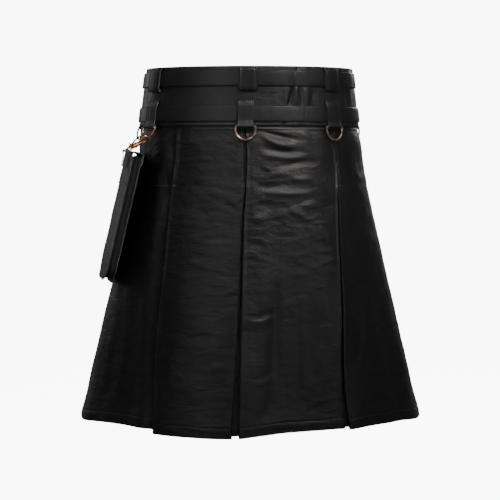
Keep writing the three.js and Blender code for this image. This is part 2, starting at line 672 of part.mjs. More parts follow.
function strapHardware(name, top, bottom) {
  const middle = (top + bottom) / 2;
  const k = perDegree(180, middle);
  const heel = 360 + STRAP_START;
  const far = heel - FRAME_LENGTH / k;
  const strap = skirtWall(() => strapPoints(middle), STRAP_T, [top, bottom], null);
  const chapeSlot = slot(heel, middle, 11, 4.2, HEEL_OUT - 4.6, HEEL_OUT + 4.45);
  const tailHole = slot(heel - 11 / k, middle, 13, 4.2, 0.9, 13);
  add("strap_" + name, cut(strap, chapeSlot, tailHole), leather(0x1c1c1d));

  // Buckle frame: a rounded rectangle of wire, its heel bar in the strap's fold
  const high = (top - bottom) / 2 + FRAME_OVER;
  const corners = [
    { t: heel, z: middle - high, o: HEEL_OUT },
    { t: heel, z: middle + high, o: HEEL_OUT },
    { t: far, z: middle + high, o: FAR_OUT },
    { t: far, z: middle - high, o: FAR_OUT },
  ].map((c) => place(c.t, c.z, c.o));
  const outline = [];
  corners.forEach((p, i) => {
    const prev = corners[(i + 3) % 4];
    const next = corners[(i + 1) % 4];
    const toPrev = new THREE.Vector3().subVectors(prev, p).normalize();
    const toNext = new THREE.Vector3().subVectors(next, p).normalize();
    for (const f of [0, 0.5, 1]) {
      const w = f * 90 * RAD;
      const r = 3.2;
      const bent = p.clone().addScaledVector(toPrev, r * (1 - Math.sin(w)));
      outline.push(bent.addScaledVector(toNext, r * (1 - Math.cos(w))));
    }
  });
  add("buckle_" + name, rod(outline, HEEL_R, 8, true), copper(0xa9714f));

  // Prong: an eye on the heel bar and an arm that rests on the far bar
  const shape = new THREE.Shape();
  const eye = 3.1;
  const reach = FRAME_LENGTH + 1.5;
  const tipLow = FAR_OUT - HEEL_OUT + HEEL_R + SEAM;
  const tip = tipLow + 1.5;
  shape.moveTo(0, eye);
  for (let n = 1; n <= 9; n += 1) {
    const turn = (90 + 30 * n) * RAD;
    shape.lineTo(eye * Math.cos(turn), eye * Math.sin(turn));
  }
  shape.lineTo(eye, 1.2);
  shape.lineTo(reach, tipLow);
  shape.lineTo(reach, tip);
  const hole = new THREE.Path();
  for (let n = 0; n < 12; n += 1) {
    const turn = -30 * n * RAD;
    const r = HEEL_R + 0.3;
    if (n === 0) hole.moveTo(r, 0);
    else hole.lineTo(r * Math.cos(turn), r * Math.sin(turn));
  }
  shape.holes.push(hole);
  const prong = new THREE.ExtrudeGeometry(shape, { depth: 2.8, bevelEnabled: false, steps: 1 });
  prong.translate(0, 0, -1.4);
  const n = outward(heel, middle);
  const bar = place(heel, middle, HEEL_OUT);
  const along = place(far, middle, HEEL_OUT).sub(bar).normalize();
  const out = new THREE.Vector3().crossVectors(new THREE.Vector3(0, 0, 1), along).normalize();
  if (out.dot(n) < 0) out.negate();
  const third = new THREE.Vector3().crossVectors(along, out);
  const frame = new THREE.Matrix4().makeBasis(along, out, third);
  frame.setPosition(bar.setZ(middle));
  prong.applyMatrix4(frame);
  add("prong_" + name, mergeClean(prong), copper(0xa9714f));

  // Keeper: a narrow leather ring round strap and tail
  const lower = 3.15 - STRAP_T / 2 - SEAM - KEEPER_T; // beneath the strap, which lies 3.15 out here
  const upper = 6.1 + STRAP_T / 2 + SEAM; // over the tail, which lies 6.1 out
  const grid = [];
  for (const part of [-0.5, 0, 0.5]) {
    const t = KEEPER_AT + (part * KEEPER_WIDTH) / k;
    const over = SEAM + 0.5;
    const round = [
      { z: top + over, o: lower + KEEPER_T, zo: top + over + KEEPER_T, oo: lower },
      { z: top + over, o: upper, zo: top + over + KEEPER_T, oo: upper + KEEPER_T },
      { z: bottom - over, o: upper, zo: bottom - over - KEEPER_T, oo: upper + KEEPER_T },
      { z: bottom - over, o: lower + KEEPER_T, zo: bottom - over - KEEPER_T, oo: lower },
    ];
    grid.push(round.map((c) => ({ out: place(t, c.zo, c.oo), in: place(t, c.z, c.o) })));
  }
  add("keeper_" + name, tubeRing(grid), leather(0x1c1c1d));
}

// A closed band from rings of point pairs: each ring closes on itself, the first and last are the edges
function tubeRing(grid) {
  const rows = grid.length;
  const cols = grid[0].length;
  const points = grid.flatMap((row) => row.flatMap((pair) => [pair.out, pair.in]));
  const at = (j, i, side) => 2 * (j * cols + (i % cols)) + side;
  const faces = [];
  const quad = (a, b, c, d) => faces.push([a, b, c], [a, c, d]);
  for (let i = 0; i < cols; i += 1) {
    for (let j = 0; j < rows - 1; j += 1) {
      quad(at(j, i, 0), at(j + 1, i, 0), at(j + 1, i + 1, 0), at(j, i + 1, 0));
      quad(at(j, i, 1), at(j, i + 1, 1), at(j + 1, i + 1, 1), at(j + 1, i, 1));
    }
    quad(at(0, i, 0), at(0, i + 1, 0), at(0, i + 1, 1), at(0, i, 1));
    quad(at(rows - 1, i, 1), at(rows - 1, i + 1, 1), at(rows - 1, i + 1, 0), at(rows - 1, i, 0));
  }
  return solidGeometry(points, faces);
}

function mergeClean(geometry) {
  const g = geometry.clone();
  g.deleteAttribute("normal");
  g.deleteAttribute("uv");
  const merged = mergeVertices(g, 1e-4);
  merged.computeVertexNormals();
  return merged;
}

for (const s of STRAPS) strapHardware(s.name, s.top, s.bottom);

// A ribbon hung on the band: its side path {z, o} swept over a width
function ribbon(t, width, path, thickness, flat) {
  const faces = thicken(path.map((p) => ({ a: -p.z, o: p.o })), thickness);
  const k = perDegree(t, -50);
  const n = outward(t, -50);
  const along = new THREE.Vector3(-n.y, n.x, 0);
  const parts = flat ? 1 : 2;
  const grid = [];
  for (let i = 0; i <= parts; i += 1) {
    const off = (i / parts - 0.5) * width;
    const at = (a, o) => (flat ? place(t, -a, o).addScaledVector(along, off) : place(t + off / k, -a, o));
    grid.push(faces.map((f) => ({ out: at(f.out.a, f.out.o), in: at(f.in.a, f.in.o) })));
  }
  return sheet(grid);
}

// Upper loop: head flush with the band's top edge, over the strap, foot turned under
function upperLoopPath() {
  const low = LOOP_GAP + LOOP_T / 2;
  const over = STRAP_LIFT + STRAP_T + LOOP_GAP + LOOP_T / 2;
  const foot = (LOOP_T + 0.4) / 2;
  const path = [
    { z: LOOP_TOP, o: low },
    { z: -2, o: low + 0.3 },
    { z: -6.6, o: over },
    { z: -20, o: over + 0.25 },
    { z: -34, o: over },
  ];
  const end = LOOP_FOOT + LOOP_T / 2 + foot;
  for (let n = 0; n <= 4; n += 1) {
    const turn = -45 * n * RAD;
    path.push({ z: end + foot * Math.sin(turn), o: low + foot + foot * Math.cos(turn) });
  }
  path.push({ z: -35, o: low });
  return path;
}

// Lower loop: stitched head, over the strap, bottom fold round the ring's bar
const LOW_FOLD = RING_WIRE + SEAM + LOOP_T / 2;
const RING_BAR_OUT = LOOP_GAP + LOOP_T / 2 + LOW_FOLD;
function lowerLoopPath() {
  const low = LOOP_GAP + LOOP_T / 2;
  const over = STRAP_LIFT + STRAP_T + LOOP_GAP + LOOP_T / 2;
  const path = [
    { z: LOOP_HEAD, o: low },
    { z: -62, o: low },
    { z: -65.6, o: over },
    { z: -78, o: over + 0.25 },
    { z: -90.4, o: over + 0.1 },
  ];
  for (const deg of [42, 10, -25, -60, -95, -130, -160, -180]) {
    path.push({
      z: RING_BAR_Z + LOW_FOLD * Math.sin(deg * RAD),
      o: RING_BAR_OUT + LOW_FOLD * Math.cos(deg * RAD),
    });
  }
  path.push({ z: -93.2, o: low });
  return path;
}

// The ring's own directions: along its bar, outward and down its plane
function ringFrame(loop) {
  const t = loop.lower;
  const bar = place(t, RING_BAR_Z, RING_BAR_OUT);
  const n = outward(t, RING_BAR_Z);
  const along = new THREE.Vector3(-n.y, n.x, 0);
  const slope = place(t, -122, 0).sub(place(t, -98, 0)).dot(n);
  const pulled = loop.name.startsWith("left") ? RING_LEAN_PULLED * RAD : 0;
  const lean = Math.atan2(slope, 24) + pulled;
  const down = new THREE.Vector3(0, 0, -Math.cos(lean)).addScaledVector(n, Math.sin(lean));
  return { bar, n, along, down };
}

function ringOutline(loop) {
  const { bar, along, down } = ringFrame(loop);
  const flat = [];
  const r = RING_CORNER;
  for (const deg of [180, 135, 90]) {
    flat.push({ x: -RING_HALF + r + r * Math.cos(deg * RAD), y: r - r * Math.sin(deg * RAD) });
  }
  flat.push({ x: 0, y: 0 });
  for (const deg of [90, 45, 0]) {
    flat.push({ x: RING_HALF - r + r * Math.cos(deg * RAD), y: r - r * Math.sin(deg * RAD) });
  }
  const bow = RING_DROP - r - 1;
  for (let n = 0; n <= 10; n += 1) {
    const turn = (n / 10) * 180 * RAD;
    flat.push({ x: RING_HALF * Math.cos(turn), y: r + 1 + bow * Math.sin(turn) });
  }
  return flat.map((p) => bar.clone().addScaledVector(along, p.x).addScaledVector(down, p.y));
}

for (const loop of LOOPS) {
  const upper = ribbon(loop.upper, UPPER_LOOP_WIDTH, upperLoopPath(), LOOP_T, false);
  const lower = ribbon(loop.lower, LOWER_LOOP_WIDTH, lowerLoopPath(), LOOP_T, true);
  add("loop_upper_" + loop.name, upper, leather(0x222223));
  add("loop_lower_" + loop.name, lower, leather(0x222223));
  add("ring_" + loop.name, rod(ringOutline(loop), RING_WIRE, 6, true), copper(0xb98468));
}

// Pocket directions: w along its width to the front, h down, o outward
const turnP = POCKET_TURN * RAD;
const leanP = POCKET_LEAN * RAD;
const PW = new THREE.Vector3(-Math.sin(turnP), Math.cos(turnP), 0);
const PO_LEVEL = new THREE.Vector3(-Math.cos(turnP), -Math.sin(turnP), 0);
const PH = new THREE.Vector3(0, 0, -Math.cos(leanP)).addScaledVector(PO_LEVEL, Math.sin(leanP));
const PO = new THREE.Vector3(0, 0, Math.sin(leanP)).addScaledVector(PO_LEVEL, Math.cos(leanP));
const CORNER = new THREE.Vector3(...POCKET_CORNER);
function pocketPoint(w, h, o) {
  const f = w / POCKET_WIDTH;
  const bow = POCKET_BOW * 4 * f * (1 - f);
  return CORNER.clone().addScaledVector(PW, w).addScaledVector(PH, h).addScaledVector(PO, o + bow);
}

// A pocket face: rounded bottom corners, from a top height down
function pocketFace(top, bottom, inner, outer) {
  const cols = 10;
  const rows = 4;
  const grid = [];
  for (let j = 0; j <= rows; j += 1) {
    const line = [];
    for (let i = 0; i <= cols; i += 1) {
      const w = (i / cols) * POCKET_WIDTH;
      const side = Math.max(0, POCKET_ROUND - Math.min(w, POCKET_WIDTH - w));
      const cornerRise = POCKET_ROUND - Math.sqrt(Math.max(0, POCKET_ROUND ** 2 - side ** 2));
      const h = mix(top, bottom - cornerRise, j / rows);
      line.push({ out: pocketPoint(w, h, outer), in: pocketPoint(w, h, inner) });
    }
    grid.push(line);
  }
  return sheet(grid);
}
add("pocket_back", pocketFace(0, POCKET_HEIGHT, 0, POCKET_T), leather(0x1a1a1b));
const pocketFront = pocketFace(5, POCKET_HEIGHT - 2, POCKET_THICK - POCKET_T, POCKET_THICK);
add("pocket_front", pocketFront, leather(0x1d1d1e));

// Gusset: a strip round three sides between the faces
const gussetPath = [];
{
  const low = POCKET_HEIGHT - 2 - GUSSET_INSET;
  const far = POCKET_WIDTH - GUSSET_INSET;
  const r = POCKET_ROUND - 4;
  gussetPath.push({ a: GUSSET_INSET, o: GUSSET_TOP });
  gussetPath.push({ a: GUSSET_INSET, o: 60 }, { a: GUSSET_INSET, o: 130 });
  for (let n = 0; n <= 4; n += 1) {
    const turn = n * 22.5 * RAD;
    gussetPath.push({ a: GUSSET_INSET + r - r * Math.cos(turn), o: low - r + r * Math.sin(turn) });
  }
  for (const f of [0.33, 0.67]) {
    gussetPath.push({ a: mix(GUSSET_INSET + r, far - r, f), o: low });
  }
  for (let n = 4; n >= 0; n -= 1) {
    const turn = n * 22.5 * RAD;
    gussetPath.push({ a: far - r + r * Math.cos(turn), o: low - r + r * Math.sin(turn) });
  }
  gussetPath.push({ a: far, o: 130 }, { a: far, o: 60 }, { a: far, o: GUSSET_TOP });
}
{
  const sides = thicken(gussetPath, POCKET_T);
  const reach = [POCKET_T + SEAM + 0.25, POCKET_THICK - POCKET_T - SEAM - 0.25];
  const grid = reach.map((o) =>
    sides.map((s) => ({ out: pocketPoint(s.out.a, s.out.o, o), in: pocketPoint(s.in.a, s.in.o, o) })),
  );
  add("pocket_gusset", sheet(grid), leather(0x171718));
}

// Flap: sewn on the body side, over the top and down the outer face
function alongPocket(path, thickness, from, to, columns) {
  const faces = thicken(path.map((p) => ({ a: p.h, o: p.o })), thickness);
  const grid = [];
  for (let i = 0; i <= columns; i += 1) {
    const w = mix(from, to, i / columns);
    grid.push(
      faces.map((f) => ({ out: pocketPoint(w, f.out.a, f.out.o), in: pocketPoint(w, f.in.a, f.in.o) })),
    );
  }
  return sheet(grid);
}
const flapIn = -SEAM - POCKET_T / 2;
const flapOut = POCKET_THICK + SEAM + POCKET_T / 2;
const roof = (flapOut - flapIn) / 2;
const flapPath = [{ h: FLAP_BACK, o: flapIn }, { h: 4, o: flapIn }];
for (let n = 0; n <= 6; n += 1) {
  const turn = (180 - 30 * n) * RAD;
  flapPath.push({ h: -1.2 - 0.4 * roof * Math.sin(turn), o: flapIn + roof + roof * Math.cos(turn) });
}
flapPath.push({ h: 20, o: flapOut }, { h: FLAP_DROP, o: flapOut + 0.5 });
add("pocket_flap", alongPocket(flapPath, POCKET_T, 0.5, POCKET_WIDTH - 0.5, 6), leather(0x1f1f20));

// Tabs on the flap's outer face, each folded round a hook's eye
const tabIn = flapOut + POCKET_T / 2 + SEAM + POCKET_T / 2;
const tabFold = TAB_WIRE + SEAM + 0.3 + POCKET_T / 2;
const TAB_EYE_H = -3.2;
const TAB_EYE_O = tabIn + tabFold;
const tabPath = [{ h: 24, o: tabIn }, { h: 8, o: tabIn }];
for (let n = 0; n <= 6; n += 1) {
  const turn = (180 - 35 * n) * RAD;
  tabPath.push({ h: TAB_EYE_H - tabFold * Math.sin(turn), o: TAB_EYE_O + tabFold * Math.cos(turn) });
}
tabPath.push({ h: 6.5, o: tabIn + POCKET_T + 0.5 }, { h: 24, o: tabIn + POCKET_T + 0.4 });
// Each tab stands where its ring hangs
const TABS = [
  { name: "rear", loop: "left_rear" },
  { name: "front", loop: "left_front" },
].map((tab) => {
  const { bar, down } = ringFrame(LOOPS.find((l) => l.name === tab.loop));
  const wire = bar.clone().addScaledVector(down, RING_DROP);
  return { ...tab, wire, w: wire.clone().sub(CORNER).dot(PW) };
});

// Snap hook: eye in the tab, swivel barrel, and a hook closed by its gate round the ring
function snapHook(tab) {
  const loop = LOOPS.find((l) => l.name === tab.loop);
  const { along } = ringFrame(loop);
  const wire = tab.wire;
  const eye = pocketPoint(tab.w, TAB_EYE_H, TAB_EYE_O);
  const axis = new THREE.Vector3().subVectors(wire, eye);
  const length = axis.length();
  axis.normalize();
  const side = new THREE.Vector3().crossVectors(along, axis).normalize();
  const at = (u, v) => eye.clone().addScaledVector(axis, u).addScaledVector(side, v);

  // Eye: a flat-sided loop through the tab, its plane holding the axis and the tab's width
  const cross = PW.clone().addScaledVector(axis, -PW.dot(axis)).normalize();
  const eyeAt = (u, v) => eye.clone().addScaledVector(axis, u).addScaledVector(cross, v);
  const eyePoints = [
    [0, -7], [-0.6, -8.6], [0.6, -9.7], [2.4, -9.6], [6.5, -7], [9.4, -3], [10.4, 0],
    [9.4, 3], [6.5, 7], [2.4, 9.6], [0.6, 9.7], [-0.6, 8.6], [0, 7], [0, 0],
  ].map(([u, v]) => eyeAt(u, v));
  const eyeRing = rod(eyePoints, TAB_WIRE, 6, true);

  const barrelTop = length - 13.5;
  const barrelPoints = [8.6, 12, 12.4, barrelTop].map((u) => at(u, 0));
  const barrel = rod(barrelPoints, (f) => (f < 0.5 ? 2.2 : 3.4), 8, false);
  const reach = RING_WIRE + 1.1 + 1.7;
  const hook = [];
  hook.push(at(barrelTop - 2, 0), at(barrelTop + 2, -1.5));
  for (let n = 0; n <= 8; n += 1) {
    const turn = (215 - 31 * n) * RAD;
    hook.push(at(length + reach * Math.sin(turn), reach * Math.cos(turn)));
  }
  hook.push(at(barrelTop + 3, 3.2), at(barrelTop - 1.5, 1.2));
  const hookRod = rod(hook, 1.7, 6, false);
  const knob = rod([at(barrelTop - 5, 2.6), at(barrelTop - 5, 6.4)], 1.5, 6, false);
  return join(eyeRing, barrel, hookRod, knob);
}
for (const tab of TABS) {
  add(
    "pocket_tab_" + tab.name,
    alongPocket(tabPath, POCKET_T, tab.w - TAB_WIDTH / 2, tab.w + TAB_WIDTH / 2, 2),
    leather(0x1f1f20),
  );
  add("hook_" + tab.name, snapHook(tab), copper(0xb5683a));
}

export default root;
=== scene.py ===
"""Looks of the leather kilt: camera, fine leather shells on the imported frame, stitching, hardware and light.

Lengths in this file are in millimetres and are turned into metres where a mesh is made.
Angle t runs round the waist in degrees: 0 at the centre back (-Y), +90 at the wearer's right (+X).
"""

import math

import bpy
import numpy as np
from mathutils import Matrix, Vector


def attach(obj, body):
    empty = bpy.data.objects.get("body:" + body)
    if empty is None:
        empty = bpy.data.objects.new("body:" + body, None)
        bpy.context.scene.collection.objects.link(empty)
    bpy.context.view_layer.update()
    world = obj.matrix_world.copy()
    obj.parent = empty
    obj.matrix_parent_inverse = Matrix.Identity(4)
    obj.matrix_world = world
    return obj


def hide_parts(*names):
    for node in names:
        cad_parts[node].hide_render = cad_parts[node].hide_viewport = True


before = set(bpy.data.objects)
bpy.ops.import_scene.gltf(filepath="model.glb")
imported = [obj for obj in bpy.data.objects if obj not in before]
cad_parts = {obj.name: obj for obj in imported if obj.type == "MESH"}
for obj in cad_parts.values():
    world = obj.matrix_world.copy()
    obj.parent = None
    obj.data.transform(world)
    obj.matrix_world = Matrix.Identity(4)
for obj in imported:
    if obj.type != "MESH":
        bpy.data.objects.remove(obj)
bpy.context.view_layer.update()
BODY = "kilt"
MM = 0.001
RAD = math.pi / 180

# Camera, as the photograph was taken: behind the wearer, a little above the waist's middle
FOCAL_PX = 1491.0
IMAGE_PX = 500.0
CAMERA_BACK = 2600.0
CAMERA_Z = -130.67
CAMERA_PITCH = 4.028
# A first guess of where a pixel lies: this row's height, and the mm in a row and in a column
GUESS_ROW = 145
GUESS_Z = -130.0
ROW_MM = 1.68
COLUMN_MM = 1.66

camera_data = bpy.data.cameras.new("camera")
camera_data.sensor_width = 36.0
camera_data.lens = 36.0 * FOCAL_PX / IMAGE_PX
camera = bpy.data.objects.new("camera", camera_data)
camera.location = (0, -CAMERA_BACK * MM, CAMERA_Z * MM)
camera.rotation_euler = ((90 - CAMERA_PITCH) * RAD, 0, 0)
bpy.context.scene.collection.objects.link(camera)
bpy.context.scene.camera = camera


# Sizes shared with the part's source

SEAM = 0.3
SKIRT_T = 1.6
BAND_T = 2.4
STRAP_T = 2.5
LOOP_T = 1.8
POCKET_T = 1.6
BAND_DEPTH = 99
TUCK_GAP = 0.45
TUCK_DROP = 27
OVERLAP_END = 235
INSET_BAND = 4.6
INSET_SKIRT = 2.3
INSET_FROM = 117
INSET_TO = 124
INSET_LEAD = 4
STRAPS = {"upper": (-8, -33), "lower": (-67, -91.5)}
STRAP_LIFT = 0.4
LOOP_GAP = 0.45
UPPER_LOOPS = {"back": -0.6, "right_rear": 49, "right_front": 107, "left_front": -107, "left_rear": -60.3}
LOWER_LOOPS = {"back": -1.7, "right_rear": 47.4, "right_front": 107, "left_front": -107, "left_rear": -59.6}
UPPER_LOOP_WIDTH = 29.5
LOWER_LOOP_WIDTH = 26.6
LOOP_TOP = -0.2
LOOP_FOOT = -41.4
LOOP_HEAD = -55.4
RING_WIRE = 1.6
RING_BAR_Z = -99.6
RING_HALF = 16.8
RING_DROP = 22.65
RING_CORNER = 3
RING_LEAN_PULLED = 22
KEEPER_T = 1.2
KEEPER_AT = 206.5
KEEPER_WIDTH = 11


def table(names, rows):
    """A table as one dictionary of columns, sorted by its first."""
    rows = sorted(rows)
    return {n: np.array([r[i] for r in rows], float) for i, n in enumerate(names.split())}


SECTIONS = table("z half back front shift", [
    (5, 177.7, 127.5, 121.5, -0.8),
    (0, 178.2, 128, 122, -0.9),
    (-50, 184.6, 131, 126, -1.6),
    (-100, 190.3, 136, 129, -1.6),
    (-150, 193.2, 142, 133, 0.8),
    (-200, 202.0, 149, 139, 1.2),
    (-280, 219.8, 160, 149, 1.0),
    (-370, 241.0, 172, 160, 0.4),
    (-460, 262.4, 184, 172, 0.3),
    (-550, 283.0, 197, 181, 0.4),
    (-612, 297.0, 206, 186, 0.5),
])
FLUTES = table("t out", [
    (-180, 3), (-160, -3), (-140, 6), (-122, 2), (-106, -6), (-90, 0), (-76, 2), (-60, -7), (-47, -8),
    (-36, 3), (-26, 15), (-15, 18), (-5, 15), (4, 4), (13, -10), (22, -14), (31, -9), (38, -5), (48, -8),
    (61, -8), (76, 1), (90, 0), (106, -6), (122, 4), (140, 7), (160, -2), (180, 3),
])
FLUTE_TOP = -170
FLUTE_FULL = -610
PLEAT_LINES = {
    "left": table("z t", [
        (-88, -39.9), (-130, -40.4), (-200, -41.0), (-270, -39.6), (-347, -38.2), (-431, -37.0),
        (-514, -34.8), (-606, -32.4),
    ]),
    "back": table("z t", [(-88, -2.0), (-184, -2.4), (-268, -3.5), (-385, -3.7), (-509, -4.2), (-608, -4.6)]),
    "right": table("z t", [
        (-88, 47.6), (-153, 48.2), (-227, 45.2), (-304, 41.9), (-400, 38.9), (-472, 35.9),
        (-545, 34.3), (-600, 33.8),
    ]),
}
SIDE_LINE = 89.0
SLITS = table("z back right side", [
    (-88, 0.3, 0.3, 0.3),
    (-190, 0.3, 0.4, 0.4),
    (-240, 0.5, 1.2, 0.8),
    (-400, 1.3, 1.6, 1.6),
    (-550, 3.2, 2.4, 2.6),
    (-612, 5.2, 3.6, 3.4),
])
FOLD_GAPS = table("z gap", [(-88, 0.4), (-200, 0.5), (-400, 1.4), (-612, 3.2)])
FOLD_DEPTH = 38
RETURN_RISE = 3
HEMS = {
    "back_left": table("t z", [(-40, -602.5), (-32, -603.6), (-18, -604.4), (-5, -605.4)]),
    "back_right": table("t z", [(-4, -605.4), (4, -602.2), (12, -600.2), (22, -599.8), (34, -598.2)]),
    "side_left": table("t z", [(-90, -604.6), (-80, -604.2), (-54, -598.4), (-43, -597.9), (-26, -598.6)]),
    "side_right": table("t z", [(33, -600.4), (43, -597.9), (60, -598.2), (78, -602.6), (90, -604.0)]),
    "front": table("t z", [(-240, -602), (-180, -601), (-91, -604.6), (91, -604.0), (180, -600.5), (240, -601)]),
}
STRAP_START = -173.5
CHAPE = 11
HEEL_OUT = 4.7
HEEL_R = 1.5
FAR_OUT = 6.15
FRAME_LENGTH = 30
FRAME_OVER = 4.5
STRAP_PATH = table("t out", [
    (-168, 1.65), (-159.5, 1.9), (-156.5, 3.15), (-150.5, 3.15), (-147.5, 1.9), (-143, 1.65), (168, 1.65),
    (177, 3.0), (181, 3.6), (184.6, 10.55), (188, 10.55), (193, 7.75), (199, 7.6), (203.2, 6.1),
    (209.8, 6.1), (213, 5.0), (219, 4.7),
])
TURNING_RINGS = ("back", "right_rear", "right_front")
POCKET_CORNER = (-178.6, -102, -150)
POCKET_TURN = 8.9
POCKET_LEAN = 13.4
POCKET_WIDTH = 150
POCKET_HEIGHT = 220
POCKET_THICK = 16.5
POCKET_BOW = 4.2
POCKET_ROUND = 24
GUSSET_INSET = 3.4
GUSSET_TOP = 1.5
FLAP_DROP = 54
FLAP_BACK = 16
TAB_WIDTH = 10.5
TAB_WIRE = 1.4


# Curves and sections

def mix(a, b, f):
    return a + (b - a) * f


def smooth(start, stop, v):
    f = np.clip((np.asarray(v, float) - start) / (stop - start), 0, 1)
    return f * f * (3 - 2 * f)


def curve(columns, column, at):
    """The smooth curve through one column of a table over its first column, level beyond its ends."""
    x = next(iter(columns.values()))
    y = columns[column]
    d = np.diff(y) / np.diff(x)
    m = np.zeros(len(x))
    both = d[:-1] * d[1:]
    ok = both > 0
    m[1:-1][ok] = 2 * both[ok] / (d[:-1] + d[1:])[ok]
    at = np.asarray(at, float)
    i = np.clip(np.searchsorted(x, at, side="right") - 1, 0, len(x) - 2)
    h = x[i + 1] - x[i]
    f = np.clip((at - x[i]) / h, 0, 1)
    rise = (1 + 2 * f) * (1 - f) ** 2 * y[i] + f * (1 - f) ** 2 * h * m[i]
    return rise + f * f * (3 - 2 * f) * y[i + 1] + f * f * (f - 1) * h * m[i + 1]


def hump(x, at, wide):
    """A round rise of height 1 at a place."""
    return np.exp(-(((x - at) / wide) ** 2))


def graded(start, stop, near, count):
    """Places from start to stop, closer at both ends: the first three steps from an end are given."""
    one, two, three = [d if stop > start else -d for d in near]
    return np.concatenate([[start, start + one, start + two], np.linspace(start + three, stop - three, count),
                           [stop - two, stop - one, stop]])


def section(t, z):
    """The section's half width, its depth on the side of an angle, and its shift."""
    half, back, front, shift = [curve(SECTIONS, n, z) for n in ("half", "back", "front", "shift")]
    return half, np.where(np.cos(np.asarray(t) * RAD) > 0, back, front), shift


def facing(t, z):
    """Level outward direction of the section."""
    half, depth, _ = section(t, z)
    nx = np.sin(np.asarray(t) * RAD) / half
    ny = -np.cos(np.asarray(t) * RAD) / depth
    length = np.hypot(nx, ny)
    return np.stack([nx / length, ny / length, 0 * nx], -1)


def beside(normal):
    """The level direction square to an outward one."""
    return np.array([-normal[1], normal[0], 0.0])


def per_degree(t, z):
    half, depth, _ = section(t, z)
    return np.hypot(half * np.cos(np.asarray(t) * RAD), depth * np.sin(np.asarray(t) * RAD)) * RAD


def base(t, z, out):
    """A point at an angle and height, out from the section's face, without wrinkles."""
    t, z, out = np.broadcast_arrays(*[np.asarray(v, float) for v in (t, z, out)])
    half, depth, shift = section(t, z)
    wrapped = (t + 180) % 360 - 180
    reach = out + curve(FLUTES, "out", wrapped) * smooth(FLUTE_TOP, FLUTE_FULL, z)
    face = np.stack([shift + half * np.sin(t * RAD), -depth * np.cos(t * RAD), z], -1)
    return face + facing(t, z) * reach[..., None]


def pixel(p):
    """Where a point in the row frame shows in the photograph's 500 by 500 frame."""
    pitch = CAMERA_PITCH * RAD
    y = p[..., 1] + CAMERA_BACK
    z = p[..., 2] - CAMERA_Z
    depth = y * math.cos(pitch) - z * math.sin(pitch)
    up = y * math.sin(pitch) + z * math.cos(pitch)
    return IMAGE_PX / 2 + FOCAL_PX * p[..., 0] / depth, IMAGE_PX / 2 - FOCAL_PX * up / depth


def spot(u, v):
    """The angle and height of the skirt's face that shows at a pixel of the photograph."""
    z = GUESS_Z - (v - GUESS_ROW) * ROW_MM
    t = math.degrees(math.asin(max(-0.97, min(0.97, (u - IMAGE_PX / 2) * COLUMN_MM / float(section(0, z)[0])))))
    for _ in range(8):
        at = np.array([(t, z), (t + 0.1, z), (t, z + 0.5)])
        pu, pv = pixel(base(at[:, 0], at[:, 1], 0.0))
        jac = np.array([[pu[1] - pu[0], pu[2] - pu[0]], [pv[1] - pv[0], pv[2] - pv[0]]])
        step = np.linalg.solve(jac, [u - pu[0], v - pv[0]])
        t = min(89, max(-89, t + float(np.clip(step[0] * 0.1, -8, 8))))
        z = z + float(np.clip(step[1] * 0.5, -60, 60))
    return t, z


# Wrinkles and folds

LATTICES = [np.random.default_rng(seed).uniform(-1, 1, (64, 64)) for seed in range(12)]


def noise(x, y, which):
    """Smooth value noise of about unit wavelength, from -1 to 1."""
    grid = LATTICES[which]
    n = len(grid)
    i, j = np.floor(x).astype(int), np.floor(y).astype(int)
    fx, fy = [f * f * f * (f * (f * 6 - 15) + 10) for f in (np.asarray(x, float) - i, np.asarray(y, float) - j)]
    low, high = [grid[i % n, k % n] * (1 - fx) + grid[(i + 1) % n, k % n] * fx for k in (j, j + 1)]
    return low * (1 - fy) + high * fy


